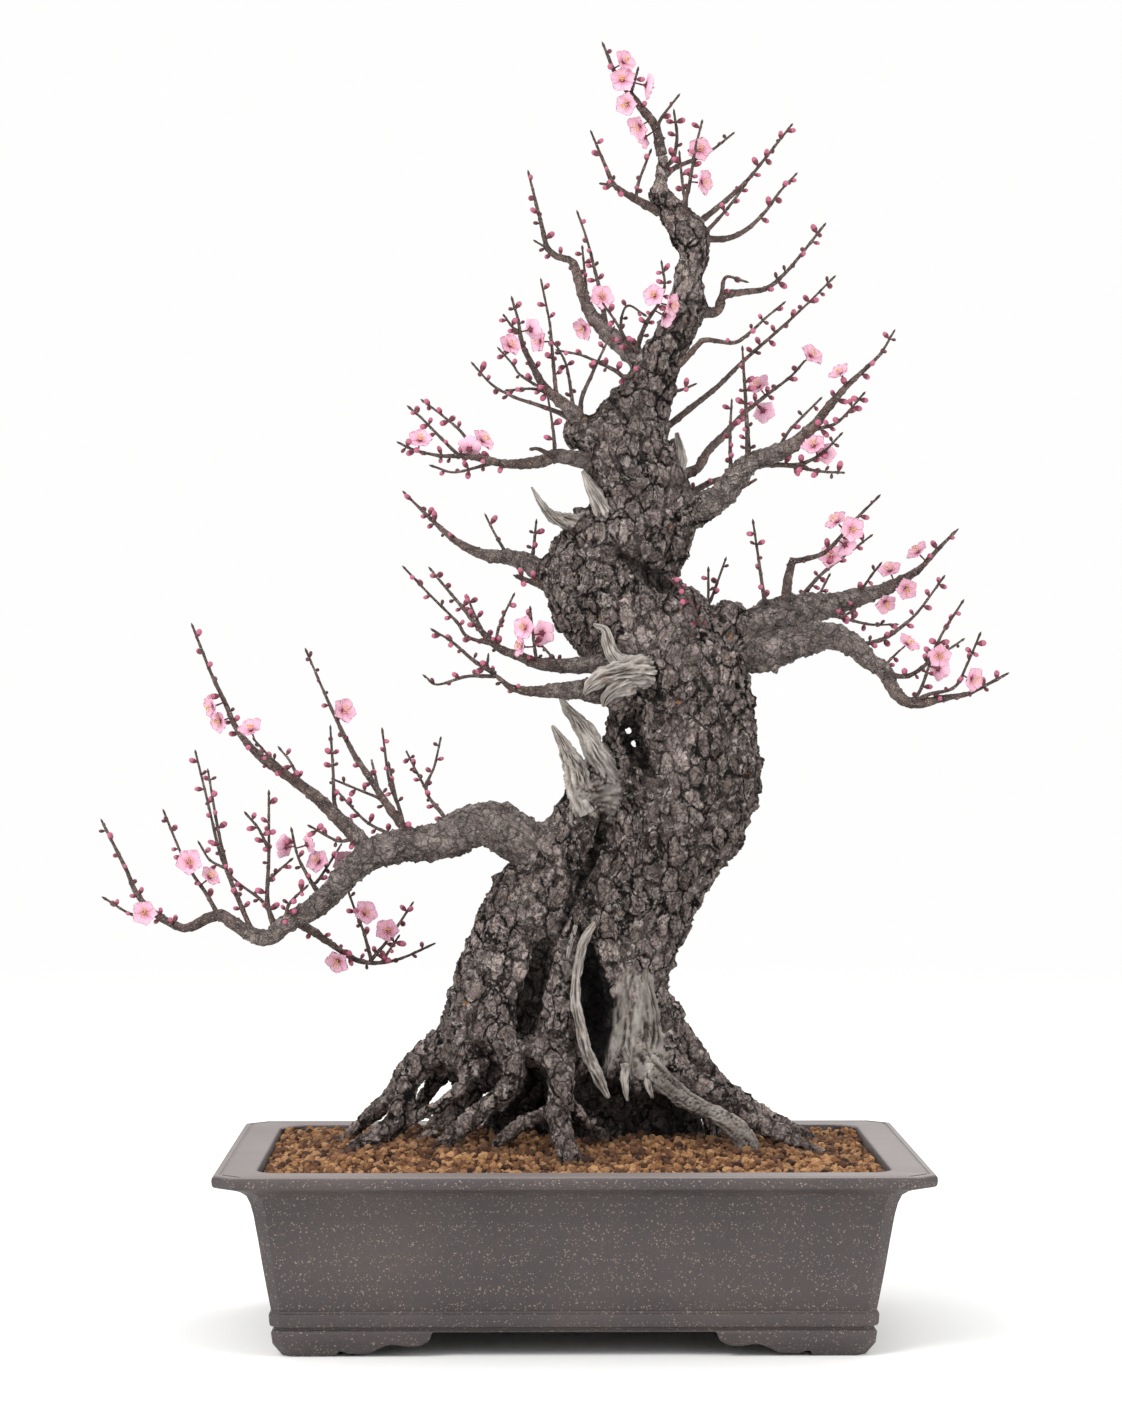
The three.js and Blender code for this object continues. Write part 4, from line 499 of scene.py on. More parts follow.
def nearest(rows, x, z):
    """The gap in x and z from a point to plan rows, and the row at that place."""
    best = (math.inf, None)
    for a, b in zip(rows, rows[1:]):
        a, b = np.array(a, float), np.array(b, float)
        along = (b - a)[[0, 2]]
        share = np.dot(np.array([x, z]) - a[[0, 2]], along) / max(np.dot(along, along), 1e-9)
        row = a + (b - a) * min(max(share, 0), 1)
        gap = math.hypot(row[0] - x, row[2] - z)
        if gap < best[0]:
            best = (gap, row)
    return best


def branch_stems(stems):
    rows = {}
    for name, parent, depths, radii, flat in stems:
        start = [nearest(rows[parent], flat[0], flat[1])[1][1]] if parent else []
        rows[name] = plan_rows([*start, *depths], radii, flat)
    return rows


def smooth_path(rows, step):
    """Catmull-Rom points about step apart through rows of (x, y, z, radius)."""
    rows = np.array(rows, float)
    ends = np.vstack([2 * rows[0] - rows[1], rows, 2 * rows[-1] - rows[-2]])
    made = []
    for k in range(1, len(ends) - 2):
        p0, p1, p2, p3 = ends[k - 1 : k + 3]
        count = max(int(np.linalg.norm((p2 - p1)[:3]) / step), 1)
        for t in np.arange(count) / count:
            bend = (2 * p0 - 5 * p1 + 4 * p2 - p3) * t**2
            made.append(0.5 * (2 * p1 + (p2 - p0) * t + bend + (3 * p1 - p0 - 3 * p2 + p3) * t**3))
    made.append(rows[-1])
    made = np.array(made)
    made[:, 3] = np.maximum(made[:, 3], rows[:, 3].min() * 0.8)
    return made


def frames_along(points):
    """Tangent and two cross directions at each point, carried along without twist."""
    tangent = np.gradient(points, axis=0)
    tangent /= np.linalg.norm(tangent, axis=1)[:, None]
    side = np.cross(tangent[0], (0, 1, 0))
    if np.linalg.norm(side) < 0.1:
        side = np.cross(tangent[0], (1, 0, 0))
    sides = []
    for along in tangent:
        side = side - along * np.dot(side, along)
        side = side / np.linalg.norm(side)
        sides.append(side)
    sides = np.array(sides)
    return tangent, sides, np.cross(tangent, sides)


# ---- Meshes ------------------------------------------------------------------------------------
def read(mesh, name):
    """The places (co) or normals (normal) of a mesh's points."""
    flat = np.empty(len(mesh.vertices) * 3, np.float32)
    mesh.vertices.foreach_get(name, flat)
    return flat.reshape(-1, 3).astype(float)


def modify(piece, kind, **settings):
    """Puts a modifier on a piece and applies it."""
    change = piece.modifiers.new(kind, kind)
    for name, value in settings.items():
        setattr(change, name, value)
    graph = bpy.context.evaluated_depsgraph_get()
    made = bpy.data.meshes.new_from_object(piece.evaluated_get(graph))
    piece.modifiers.clear()
    piece.data = made
    return piece


def remesh(piece, voxel):
    return modify(piece, "REMESH", mode="VOXEL", voxel_size=voxel * MM, use_smooth_shade=True)


def cut(piece, cutter):
    modify(piece, "BOOLEAN", operation="DIFFERENCE", solver="EXACT", object=cutter)
    bpy.data.objects.remove(cutter)


def set_mark(mesh, name, values):
    layer = mesh.attributes.get(name) or mesh.attributes.new(name, "FLOAT", "POINT")
    layer.data.foreach_set("value", np.asarray(values, np.float32))


def push(mesh, amount):
    """Moves each point along its normal by an amount in millimetres."""
    moved = read(mesh, "co") + read(mesh, "normal") * (np.asarray(amount) * MM)[:, None]
    mesh.vertices.foreach_set("co", moved.astype(np.float32).ravel())
    mesh.update()


class Shell:
    """Collects closed surfaces into one mesh, in millimetres."""

    def __init__(self):
        self.points, self.faces, self.material, self.marks = [], [], [], {}
        self.count = 0

    def add(self, points, faces, material=0, **marks):
        points = np.asarray(points, float)
        self.points.append(points)
        self.faces.extend([tuple(i + self.count for i in face) for face in faces])
        self.material.extend([material] * len(faces))
        for name in set(marks) | set(self.marks):
            value = np.broadcast_to(np.asarray(marks.get(name, 0.0), float), len(points))
            self.marks.setdefault(name, [np.zeros(self.count)] if self.count else []).append(value)
        self.count += len(points)

    def build(self, name, materials, smooth=True):
        mesh = bpy.data.meshes.new(name)
        mesh.from_pydata((np.vstack(self.points) * MM).tolist(), [], self.faces)
        for made in materials:
            mesh.materials.append(made)
        mesh.polygons.foreach_set("material_index", self.material)
        mesh.polygons.foreach_set("use_smooth", [smooth] * len(mesh.polygons))
        for mark, values in self.marks.items():
            set_mark(mesh, mark, np.concatenate(values))
        mesh.update()
        piece = bpy.data.objects.new(name, mesh)
        bpy.context.scene.collection.objects.link(piece)
        return piece


def ring_faces(rows, sides):
    """Faces over rows of rings, with a middle point after the last ring for each end."""
    faces = []
    for row in range(rows - 1):
        for i in range(sides):
            a, b = row * sides + i, row * sides + (i + 1) % sides
            faces.append((a, b, b + sides, a + sides))
    first, last, top = rows * sides, rows * sides + 1, (rows - 1) * sides
    for i in range(sides):
        j = (i + 1) % sides
        faces += [(j, i, first), (top + i, top + j, last)]
    return faces


def tube(rows, sides, step, depth=1.0, shape=None):
    """A closed stem, depth times as deep as it is wide.

    shape(along, angle, points, radius) gives each point's extra radius.
    """
    path = smooth_path(to_space(rows), step)
    centre, radius = path[:, :3], path[:, 3]
    _, side, other = frames_along(centre)
    angle = np.arange(sides) * 2 * math.pi / sides
    ring = side[:, None] * np.cos(angle)[None, :, None]
    ring = ring + other[:, None] * np.sin(angle)[None, :, None]
    ring[:, :, 1] *= depth
    points = (centre[:, None] + ring * radius[:, None, None]).reshape(-1, 3)
    if shape is not None:
        along = lengths_along(centre)
        turns = np.tile(angle, len(path))
        extra = shape(np.repeat(along, sides), turns, points, np.repeat(radius, sides))
        points = points + ring.reshape(-1, 3) * extra[:, None]
    rings = points.reshape(len(path), sides, 3)
    rounded = 0.35 * radius[[0, -1], None] * np.array([[-1.0], [1.0]])
    tangent = frames_along(centre)[0][[0, -1]]
    caps = rings[[0, -1]].mean(axis=1) + tangent * rounded
    return np.vstack([points, caps]), ring_faces(len(path), sides)


# ---- Materials ---------------------------------------------------------------------------------
class Paint:
    """A small helper that lays out a material's nodes."""

    def __init__(self, name, roughness=0.8, **sockets):
        self.material = bpy.data.materials.new(name)
        self.material.use_nodes = True
        self.tree = self.material.node_tree
        self.shader = self.tree.nodes["Principled BSDF"]
        self.fill(self.shader, Roughness=roughness, **sockets)
        self.place = self.node("TexCoord").outputs["Object"]

    def fill(self, node, inputs=(), **named):
        """Links sockets to a node's inputs and sets numbers on them."""
        named = {name.replace("_", " "): value for name, value in named.items()}
        for key, value in {**dict(inputs), **named}.items():
            if isinstance(value, bpy.types.NodeSocket):
                self.tree.links.new(value, node.inputs[key])
            else:
                node.inputs[key].default_value = value

    def node(self, kind, inputs=(), **settings):
        made = self.tree.nodes.new("ShaderNode" + kind)
        for name, value in settings.items():
            setattr(made, name, value)
        self.fill(made, inputs)
        return made

    def stretched(self, scale):
        return self.node("Mapping", {"Vector": self.place, "Scale": scale}).outputs["Vector"]

    def noise(self, scale, detail=4, output="Fac", place=None):
        inputs = {"Vector": place or self.place, "Scale": scale, "Detail": detail}
        return self.node("TexNoise", inputs).outputs[output]

    def warped(self, scale, amount, place=None):
        """The place moved about by noise, so that what is drawn on it has uneven edges."""
        moved = self.noise(scale, 3, "Color", place)
        return self.vector("MULTIPLY_ADD", moved, amount * MM, place or self.place)

    def cells(self, scale, place=None, output="Distance", feature="F1"):
        inputs = {"Vector": place or self.place, "Scale": scale}
        return self.node("TexVoronoi", inputs, feature=feature).outputs[output]

    def vector(self, operation, *values):
        """One step of vector arithmetic on sockets or numbers."""
        inputs = {k: (v,) * 3 if isinstance(v, (int, float)) else v for k, v in enumerate(values)}
        made = self.node("VectorMath", inputs, operation=operation)
        return made.outputs["Value" if operation in ("DOT_PRODUCT", "LENGTH") else "Vector"]

    def plates(self, scale, place):
        """Plates that each tilt their own way: gap to the edge, height and a number of their own."""
        number = self.cells(scale, place, "Color")
        away = self.vector("SUBTRACT", place, self.cells(scale, place, "Position"))
        lean = self.vector("MULTIPLY_ADD", number, 2.0 * scale, -1.0 * scale)
        edge = self.cells(scale, place, feature="DISTANCE_TO_EDGE")
        return edge, self.vector("DOT_PRODUCT", away, lean), number

    def mark(self, name):
        return self.node("Attribute", attribute_name=name).outputs["Fac"]

    def ramp(self, source, *stops):
        """Greys or colours at spots from 0 to 1 of the source."""
        made = self.node("ValToRGB", {"Fac": source})
        elements = made.color_ramp.elements
        while len(elements) < len(stops):
            elements.new(0.5)
        for element, (spot, value) in zip(elements, stops):
            element.position = spot
            element.color = (*(value if isinstance(value, tuple) else (value,) * 3), 1)
        return made.outputs["Color"]

    def blend(self, share, low, high, kind="MIX"):
        low, high = [(*side, 1) if isinstance(side, tuple) else side for side in (low, high)]
        made = self.node("Mix", {}, data_type="RGBA", blend_type=kind)
        self.fill(made, {0: share, 6: low, 7: high})
        return made.outputs[2]

    def times(self, first, second, share=1.0):
        return self.blend(share, first, second, "MULTIPLY")

    def patch(self, colour, tint, source, *stops):
        """Covers a colour with a tint as far as the ramp over the source says."""
        return self.blend(self.ramp(source, *stops), colour, tint)

    def bump(self, height, strength, distance, before=None):
        inputs = {"Height": height, "Strength": strength, "Distance": distance * MM}
        if before is not None:
            inputs["Normal"] = before
        return self.node("Bump", inputs).outputs["Normal"]

    def finish(self, colour, **sockets):
        self.fill(self.shader, {"Base Color": colour}, **sockets)
        return self.material


def rgb(red, green, blue):
    """A colour given on the usual 0 to 255 scale, as light."""
    parts = (red / 255, green / 255, blue / 255)
    return tuple(c / 12.92 if c <= 0.04045 else ((c + 0.055) / 1.055) ** 2.4 for c in parts)


def bare_wood(paint, light):
    """The colour of silver wood, with grain that runs along each piece."""
    shades = ((0.1, (52, 45, 41)), (0.36, (112, 102, 95)), (0.58, (152, 143, 136)), (0.9, (184, 177, 170)))
    stops = [(spot, rgb(*(c * light for c in shade))) for spot, shade in shades]
    stain = paint.ramp(paint.noise(48, 5), (0.34, 0.5), (0.6, 1.05))
    colour = paint.times(paint.ramp(paint.mark("grain"), *stops), stain, 0.8)
    return paint.patch(colour, rgb(118, 92, 70), paint.noise(90, 3), (0.58, 0.0), (0.74, 0.4))


def flaky(paint, colour, place, sizes, dark):
    """Lays flakes over a colour: their own shades, dark cracks that are partly painted shade, pale edges
    that are partly a painted highlight, and relief.

    Each size is (cells per metre, relief in mm, contrast, strength of its edges and cracks).
    """
    normal = None
    wear_and_highlight = paint.ramp(paint.noise(120, 5), (0.5, 0.0), (0.62, 1.0))
    broken = paint.ramp(paint.noise(40, 4), (0.36, 0.25), (0.55, 1.0))
    for scale, deep, contrast, strength in sizes:
        edge, height, number = paint.plates(scale, place)
        colour = paint.times(colour, paint.ramp(number, (0.22, 0.55), (0.55, 1.0), (0.8, 1.65)), contrast)
        # Pale plate edges: partly worn bark, partly a painted highlight.
        lip = paint.ramp(edge, (0.05, 0.0), (0.08, strength), (0.18, 0.0))
        colour = paint.blend(paint.times(lip, wear_and_highlight), colour, rgb(176, 165, 159))
        # Dark cracks: partly the crevices' own colour, partly painted shade.
        crack = paint.ramp(edge, (0.0, strength), (0.045, strength), (0.11, 0.0))
        colour = paint.blend(paint.times(crack, broken), colour, dark)
        normal = paint.bump(paint.ramp(edge, (0.0, 0.0), (0.1, 1.0)), 0.8, deep, normal)
        normal = paint.bump(height, 0.9, deep * 0.8, normal)
    return colour, normal


def bark_material():
    """Flaky plates: dark cracks (partly painted shade), pale edges and ridges (partly a painted highlight),
    lichen and rust-coloured flecks, bare wood, and painted shade in the hollow, grooves and gaps.
    """
    paint = Paint("old_bark", 0.9, Specular_IOR_Level=0.2)
    place = paint.warped(420, 4, paint.warped(62, 13, paint.stretched((1, 1, 0.74))))
    fine = paint.noise(620, 8)
    tones = ((0.3, rgb(79, 69, 65)), (0.5, rgb(109, 97, 93)), (0.72, rgb(147, 134, 129)))
    sizes = ((86, 4.4, 0.5, 1.0), (210, 1.5, 0.35, 0.45))
    colour, normal = flaky(paint, paint.ramp(paint.noise(22, 6), *tones), place, sizes, rgb(13, 10, 9))
    colour = paint.times(colour, paint.ramp(fine, (0.33, 0.5), (0.66, 1.35)), 0.75)
    # Pale raised ridges: partly worn bark, partly a painted highlight.
    pale = paint.ramp(paint.noise(240, 5), (0.5, 0.0), (0.62, 0.6))
    colour = paint.blend(paint.blend(paint.mark("ridge"), (0, 0, 0), pale), colour, rgb(174, 163, 157))
    # Cracks darkened: partly their own colour, partly painted shade.
    colour = paint.patch(colour, rgb(26, 21, 19), paint.mark("crack"), (0.45, 0.0), (1.0, 0.55))
    colour = paint.patch(colour, rgb(182, 174, 165), paint.noise(58, 4), (0.70, 0.0), (0.74, 0.6))
    colour = paint.patch(colour, rgb(164, 104, 60), paint.noise(170, 2), (0.735, 0.0), (0.765, 0.85))
    colour = paint.blend(paint.mark("bare"), colour, bare_wood(paint, 0.8))
    colour = paint.patch(colour, rgb(4, 3, 3), paint.mark("shade"), (0.0, 0.0), (1.0, 0.96))
    smooth = paint.bump(paint.mark("grain"), 0.5, 1.0)
    mixed = paint.node("Mix", {}, data_type="VECTOR")
    paint.fill(mixed, {0: paint.mark("bare"), 4: normal, 5: smooth})
    return paint.finish(colour, Normal=paint.bump(fine, 0.6, 0.8, mixed.outputs[1]))


def twig_material():
    """Smoother grey-brown bark with pale lenticels, flaky where a limb is thick."""
    paint = Paint("twig_bark", 0.7)
    place = paint.warped(300, 5, paint.warped(110, 12))
    fine = paint.noise(900, 6)
    tones = ((0.3, rgb(80, 69, 65)), (0.52, rgb(118, 105, 100)), (0.75, rgb(156, 143, 136)))
    young = paint.ramp(paint.mark("thick"), (0.0, (0.56, 0.45, 0.42)), (0.5, 1.0))
    tone = paint.times(paint.ramp(paint.noise(80, 5), *tones), young)
    sizes = ((90, 2.0, 0.3, 0.6), (240, 0.7, 0.18, 0.3))
    flakes, normal = flaky(paint, tone, place, sizes, rgb(34, 28, 26))
    colour = paint.patch(tone, flakes, paint.mark("thick"), (0.0, 0.1), (1.0, 0.8))
    colour = paint.times(colour, paint.ramp(fine, (0.3, 0.5), (0.7, 1.3)), 0.4)
    lenticels = paint.cells(520, paint.stretched((0.6, 0.6, 1.5)))
    colour = paint.patch(colour, rgb(182, 170, 160), lenticels, (0.12, 0.75), (0.24, 0.0))
    colour = paint.patch(colour, rgb(160, 104, 62), paint.noise(210, 2), (0.75, 0.0), (0.78, 0.7))
    # Cracks darkened: partly their own colour, partly painted shade.
    colour = paint.patch(colour, rgb(30, 25, 23), paint.mark("crack"), (0.1, 0.0), (0.9, 0.8))
    return paint.finish(colour, Normal=paint.bump(fine, 0.5, 0.5, normal))


def deadwood_material():
    paint = Paint("deadwood", 0.72)
    fine = paint.noise(800, 5)
    colour = paint.times(bare_wood(paint, 1.0), paint.ramp(fine, (0.3, 0.5), (0.7, 1.2)), 0.5)
    normal = paint.bump(paint.mark("grain"), 0.6, 1.2)
    return paint.finish(colour, Normal=paint.bump(fine, 0.5, 0.6, normal))


def clay_material():
    """Unglazed stoneware: purple-grey with tiny pale and dark grains, and a painted highlight on the rim's
    top.
    """
    paint = Paint("unglazed_clay", 0.55)
    cloud, fine, sand = paint.noise(11, 6), paint.noise(1300, 4), paint.warped(500, 3)
    colour = paint.ramp(cloud, (0.3, rgb(56, 49, 49)), (0.5, rgb(66, 58, 58)), (0.7, rgb(76, 67, 66)))
    colour = paint.patch(colour, rgb(78, 66, 54), paint.noise(34, 4), (0.62, 0.0), (0.72, 0.35))
    colour = paint.times(colour, paint.ramp(fine, (0.3, 0.6), (0.7, 1.3)), 0.7)
    pale_grains = ((300, 0.15, 0.4, rgb(188, 164, 142)), (520, 0.2, 0.9, rgb(148, 132, 120)))
    for scale, reach, strength, tint in pale_grains:
        grain = paint.ramp(paint.cells(scale, sand), (reach, 0.85), (reach + 0.07, 0.0))
        chosen = paint.ramp(paint.cells(scale, sand, "Color"), (0.48, 0.0), (0.5, strength))
        colour = paint.blend(paint.times(grain, chosen), colour, tint)
    colour = paint.patch(colour, rgb(38, 33, 33), paint.cells(260, sand), (0.07, 0.7), (0.13, 0.0))
    # Painted highlight on the rim's upward-facing top.
    colour = paint.patch(colour, rgb(150, 140, 137), paint.mark("rim"), (0.2, 0.0), (1.0, 0.62))
    normal = paint.bump(fine, 0.35, 0.3, paint.bump(paint.noise(60, 3), 0.12, 1.5))
    return paint.finish(colour, Normal=normal, Roughness=paint.ramp(cloud, (0.3, 0.48), (0.7, 0.66)))


def soil_material():
    """Fired clay granules, each of its own brown, with painted shade near the trunk and on the bed below
    them.
    """
    paint = Paint("soil_granules", 0.95)
    browns = ((50, 28, 17), (104, 68, 44), (150, 106, 70), (186, 142, 98))
    stops = [(spot, rgb(*brown)) for spot, brown in zip((0.0, 0.25, 0.6, 1.0), browns)]
    fine = paint.noise(1100, 5)
    colour = paint.ramp(paint.mark("own"), *stops)
    colour = paint.times(colour, paint.ramp(fine, (0.3, 0.45), (0.7, 1.25)), 0.8)
    # Painted shade near the wood and on the bed seen between granules, with a little random darkening.
    colour = paint.blend(paint.mark("moist"), colour, rgb(42, 24, 16))
    return paint.finish(colour, Normal=paint.bump(fine, 0.7, 0.8))


def petal_material(name, edge, heart, streak):
    """Thin petals: deeper at the heart and faintly veined."""
    paint = Paint(name, 0.6, Sheen_Weight=0.1)
    veins = paint.noise(700, 3)
    stops = ((0.0, heart), (0.42, edge), (1.0, tuple(min(1, c * 1.1) for c in edge)))
    colour = paint.ramp(paint.mark("out"), *stops)
    colour = paint.times(colour, paint.ramp(veins, (0.3, 0.7), (0.7, 1.1)), streak)
    return paint.finish(colour, Normal=paint.bump(veins, 0.1, 0.1))


def plain_material(name, dark, light, scale, roughness=0.6, **sockets):
    paint = Paint(name, roughness, **sockets)
    fine = paint.noise(scale, 4)
    return paint.finish(paint.ramp(fine, (0.3, dark), (0.7, light)), Normal=paint.bump(fine, 0.2, 0.2))


BARK = bark_material()
TWIG = twig_material()
BARE = deadwood_material()
CLAY = clay_material()
SOIL = soil_material()
PETAL = petal_material("blossom", rgb(224, 174, 194), rgb(196, 106, 140), 0.14)
BUD = petal_material("bud", rgb(170, 88, 114), rgb(112, 40, 64), 0.3)
CALYX = plain_material("calyx", rgb(70, 26, 36), rgb(122, 50, 64), 1500)
TIP = plain_material("tip_bud", rgb(34, 22, 22), rgb(74, 46, 42), 1500)
ANTHER = plain_material("anther", rgb(196, 146, 62), rgb(226, 184, 96), 3000)
FILAMENT = plain_material("filament", rgb(236, 196, 206), rgb(250, 222, 226), 3000)
MESH = plain_material("screen_mesh", rgb(30, 33, 31), rgb(52, 55, 52), 500, 0.7)
WIRE = plain_material("wire", rgb(120, 112, 102), rgb(160, 152, 140), 900, 0.42, Metallic=1.0)


# ---- Trunk -------------------------------------------------------------------------------------
BARK_VOXEL = 1.75
ROOT_SWELL = 1.08  # roots against their planned radius
LEADER_ROWS = 3  # rows at the trunk's top that are only drawn as a twig


def bark_shape(points, size=1.0):
    """How far bark stands out in millimetres, with its cracks and raised edges from 0 to 1: the cracks get
    partly painted shade and the raised edges partly a painted highlight.
    """
    wide = np.stack([rough_noise(points / (30 * size), 3, 40 + k) for k in range(3)], axis=1)
    close = np.stack([smooth_noise(points / (6 * size), 60 + k) for k in range(3)], axis=1)
    bent = points + (wide * 8 + close * 1.6) * size
    plate, own, lean = cell_noise(bent / (np.array([9.5, 9.5, 14]) * size), 11)
    flake, low, tilt = cell_noise(bent / (np.array([4.6, 4.6, 6.6]) * size), 23)
    patchy = ease(-0.35, 0.35, rough_noise(points / (21 * size), 2, 90))
    open_crack = (1 - ease(0.0, 0.10, plate)) * (0.25 + 0.75 * patchy)
    height = 2.0 * (own - 0.5) + 3.8 * lean + 0.8 * (low - 0.5) + 1.6 * tilt
    height = height * ease(0.0, 0.2, plate) - 1.3 * open_crack
    height += 2.6 * rough_noise(points / (30 * size), 3, 5)
    crack = np.maximum(open_crack, (1 - ease(0.0, 0.12, flake)) * 0.45)
    ridge = ease(0.12, 0.42, lean) * (1 - ease(0.15, 0.5, plate))
    ridge = ridge + 0.8 * ease(0.15, 0.4, tilt) * ease(0.4, 0.9, own)
    return (height - 0.6) * size, crack, np.clip(ridge, 0, 1)


def groove_depth(points):
    """How deep each front point lies in a groove, and how much painted shade it gets there."""
    deep, dark = np.zeros(len(points)), np.zeros(len(points))
    front = ease(4, -8, points[:, 1])
    wander = rough_noise(points / 12, 3, 17) * 2.2
    for most, line in GROOVES:
        path = smooth_path(to_space([(x, -20, z, r) for x, z, r in line]), 2)
        flat = np.linalg.norm(points[:, None, [0, 2]] - path[None, :, [0, 2]], axis=2) + wander[:, None]
        reach = (flat / path[None, :, 3]).min(axis=1)
        deep = np.maximum(deep, most * (1 - ease(0.1, 1.5, reach)) * front)
        dark = np.maximum(dark, (1 - ease(0.3, 1.25, reach)) * front * min(1, most / 8))
    return deep, dark


def bare_marks(points):
    """How bare the wood is at each point, and its grain."""
    bare, grain = np.zeros(len(points)), np.full(len(points), 0.5)
    for index, rows in enumerate(BARE_WOOD):
        path = smooth_path(to_space(rows), 1.5)
        along = lengths_along(path[:, :3])
        _, side, other = frames_along(path[:, :3])
        middle = path[:, :3].mean(axis=0)
        near = np.nonzero(np.linalg.norm(points - middle, axis=1) < along[-1] / 2 + 30)[0]
        away = points[near][:, None] - path[None, :, :3]
        gap = np.linalg.norm(away, axis=2) - path[None, :, 3]
        best = gap.argmin(axis=1)
        spot = away[np.arange(len(near)), best]
        angle = np.arctan2((spot * other[best]).sum(axis=1), (spot * side[best]).sum(axis=1))
        ragged = rough_noise(points[near] / (4.5, 6, 20), 3, 51) * 4.5
        share = 1 - ease(0.4, 2.6, gap[np.arange(len(near)), best] + ragged)
        lines = grain_at(along[best], angle, index, 12)
        grain[near] = np.where(share > bare[near], lines, grain[near])
        bare[near] = np.maximum(bare[near], share)
    return bare, grain


def behind_roots(points):
    """1 for wood in the gaps behind the roots, which light hardly reaches."""
    far = np.full(len(points), 99.0)
    low = np.nonzero(points[:, 2] < 205)[0]
    for rows in ROOTS + BARE_WOOD[:1]:
        path = smooth_path(to_space(rows), 4)
        gap = np.linalg.norm(points[low][:, None] - path[None, :, :3], axis=2)
        far[low] = np.minimum(far[low], (gap - ROOT_SWELL * path[None, :, 3]).min(axis=1))
    return ease(1.5, 6.0, far) * ease(200, 178, points[:, 2])


def hollow_shade(points):
    """1 deep inside the hollow, falling to 0 outside it."""
    middle = smooth_path(to_space(HOLLOW), 3)
    flat = np.linalg.norm(points[:, None, [0, 2]] - middle[None, :, [0, 2]], axis=2) - middle[None, :, 3]
    inside = 1 - ease(0.5, 3.5, flat.min(axis=1))
    return inside * ease(-38, -30, points[:, 1]) * ease(34, 20, points[:, 1])


def trunk_form():
    """The trunk, burrs, roots and branch collars as one smooth body, with its openings cut out."""
    main = [RESHAPED.get(row, row) for row in MAIN_TRUNK]
    left = [LEFT_TRUNK_END, *LEFT_TRUNK[1:]]
    stems = [(main[:-LEADER_ROWS], 0.9)]
    stems += [(rows, 1.0) for rows in (left, MIDDLE_RIB, *KNOBS, *FILLING, *BARE_WOOD)]
    stems += [([(x, y, z, r * ROOT_SWELL) for x, y, z, r in rows], 1.0) for rows in ROOTS]
    shell = Shell()
    for rows, depth in stems:
        thick = max(row[3] for row in rows) > 25
        shell.add(*tube(rows, 40 if thick else 20, 5 if thick else 3, depth))
    for name, grow in BRANCH_COLLARS.items():
        rows = branch_stems(BRANCHES[name])["limb"]
        start = [(x, y, z, r * more) for (x, y, z, r), more in zip(rows[:3], (grow, 1.08, 0.9))]
        shell.add(*tube(start, 20, 3))
    trunk = remesh(shell.build("trunk_bark", [BARK]), BARK_VOXEL)
    for depth, rows in HOLES:
        hollow = Shell()
        hollow.add(*tube(rows, 24, 2, depth))
        cut(trunk, hollow.build("hollow", []))
    return remesh(trunk, BARK_VOXEL)


def make_trunk():
    """The trunk with its bark pushed out of the form, and the marks that its material reads."""
    trunk = trunk_form()
    mesh = trunk.data
    mesh.materials.clear()
    mesh.materials.append(BARK)
    points = read(mesh, "co") / MM
    thick = to_space(MAIN_TRUNK + LEFT_TRUNK)
    gap = np.min(np.linalg.norm(points[:, None] - thick[None, :, :3], axis=2) - thick[None, :, 3], axis=1)
    fine = np.maximum(ease(6, 26, gap) * 0.9, ease(640, 800, points[:, 2]) * 0.8)
    coarse_bark, fine_bark = bark_shape(points), bark_shape(points, 0.5)
    height, crack, ridge = [wide * (1 - fine) + small * fine for wide, small in zip(coarse_bark, fine_bark)]
    deep, dark = groove_depth(points)
    bare, grain = bare_marks(points)
    base = ease(196, 150, points[:, 2]) * ease(-30, 0, points[:, 0] - POT_X)
    base = base * ease(90, 70, points[:, 0] - POT_X)
    base *= ease(0, -14, points[:, 1]) * (1 - bare) * ease(12, 2, gap)
    bark = height * (1 - bare) - deep * (1 - bare)
    bark -= base * (7 + 3 * rough_noise(points / 9, 3, 63))
    push(mesh, bark + bare * ((grain - 0.5) * 2.2 - 0.4))
    shade = np.maximum.reduce([hollow_shade(points), dark * 0.75, base * 0.5, behind_roots(points) * 0.8])
    marks = {"crack": crack * (1 - bare), "ridge": ridge, "shade": shade, "bare": bare, "grain": grain}
    for name, values in marks.items():
        set_mark(mesh, name, values)
    return trunk


def make_trunk_shoots(draw):
    """The trunk's own shoots and, last, the thin end of its leader; their rows come with them."""
    shoots = [plan_rows(*shoot) for shoot in TRUNK_SHOOTS] + [MAIN_TRUNK[-LEADER_ROWS - 2 :]]
    shell = Shell()
    for rows in shoots:
        add_twig(shell, rows)
    for rows in shoots:
        add_buds(shell, rows, draw)
    return shell.build("trunk_shoots", BUD_MATERIALS), shoots


# ---- Branches, buds and blossoms ---------------------------------------------------------------
BUD_MATERIALS = [TWIG, CALYX, BUD, ANTHER, FILAMENT, PETAL, TIP]
CALYX_AT, BUD_AT, ANTHER_AT, FILAMENT_AT, PETAL_AT, TIP_AT = range(1, 7)
TWIG_BARK = 0.42  # size of the bark's plates on a branch against the trunk's
BLOSSOM_WIDTH = 20
PETAL_THICKNESS = 0.2
PETALS, STAMENS = 5, 22


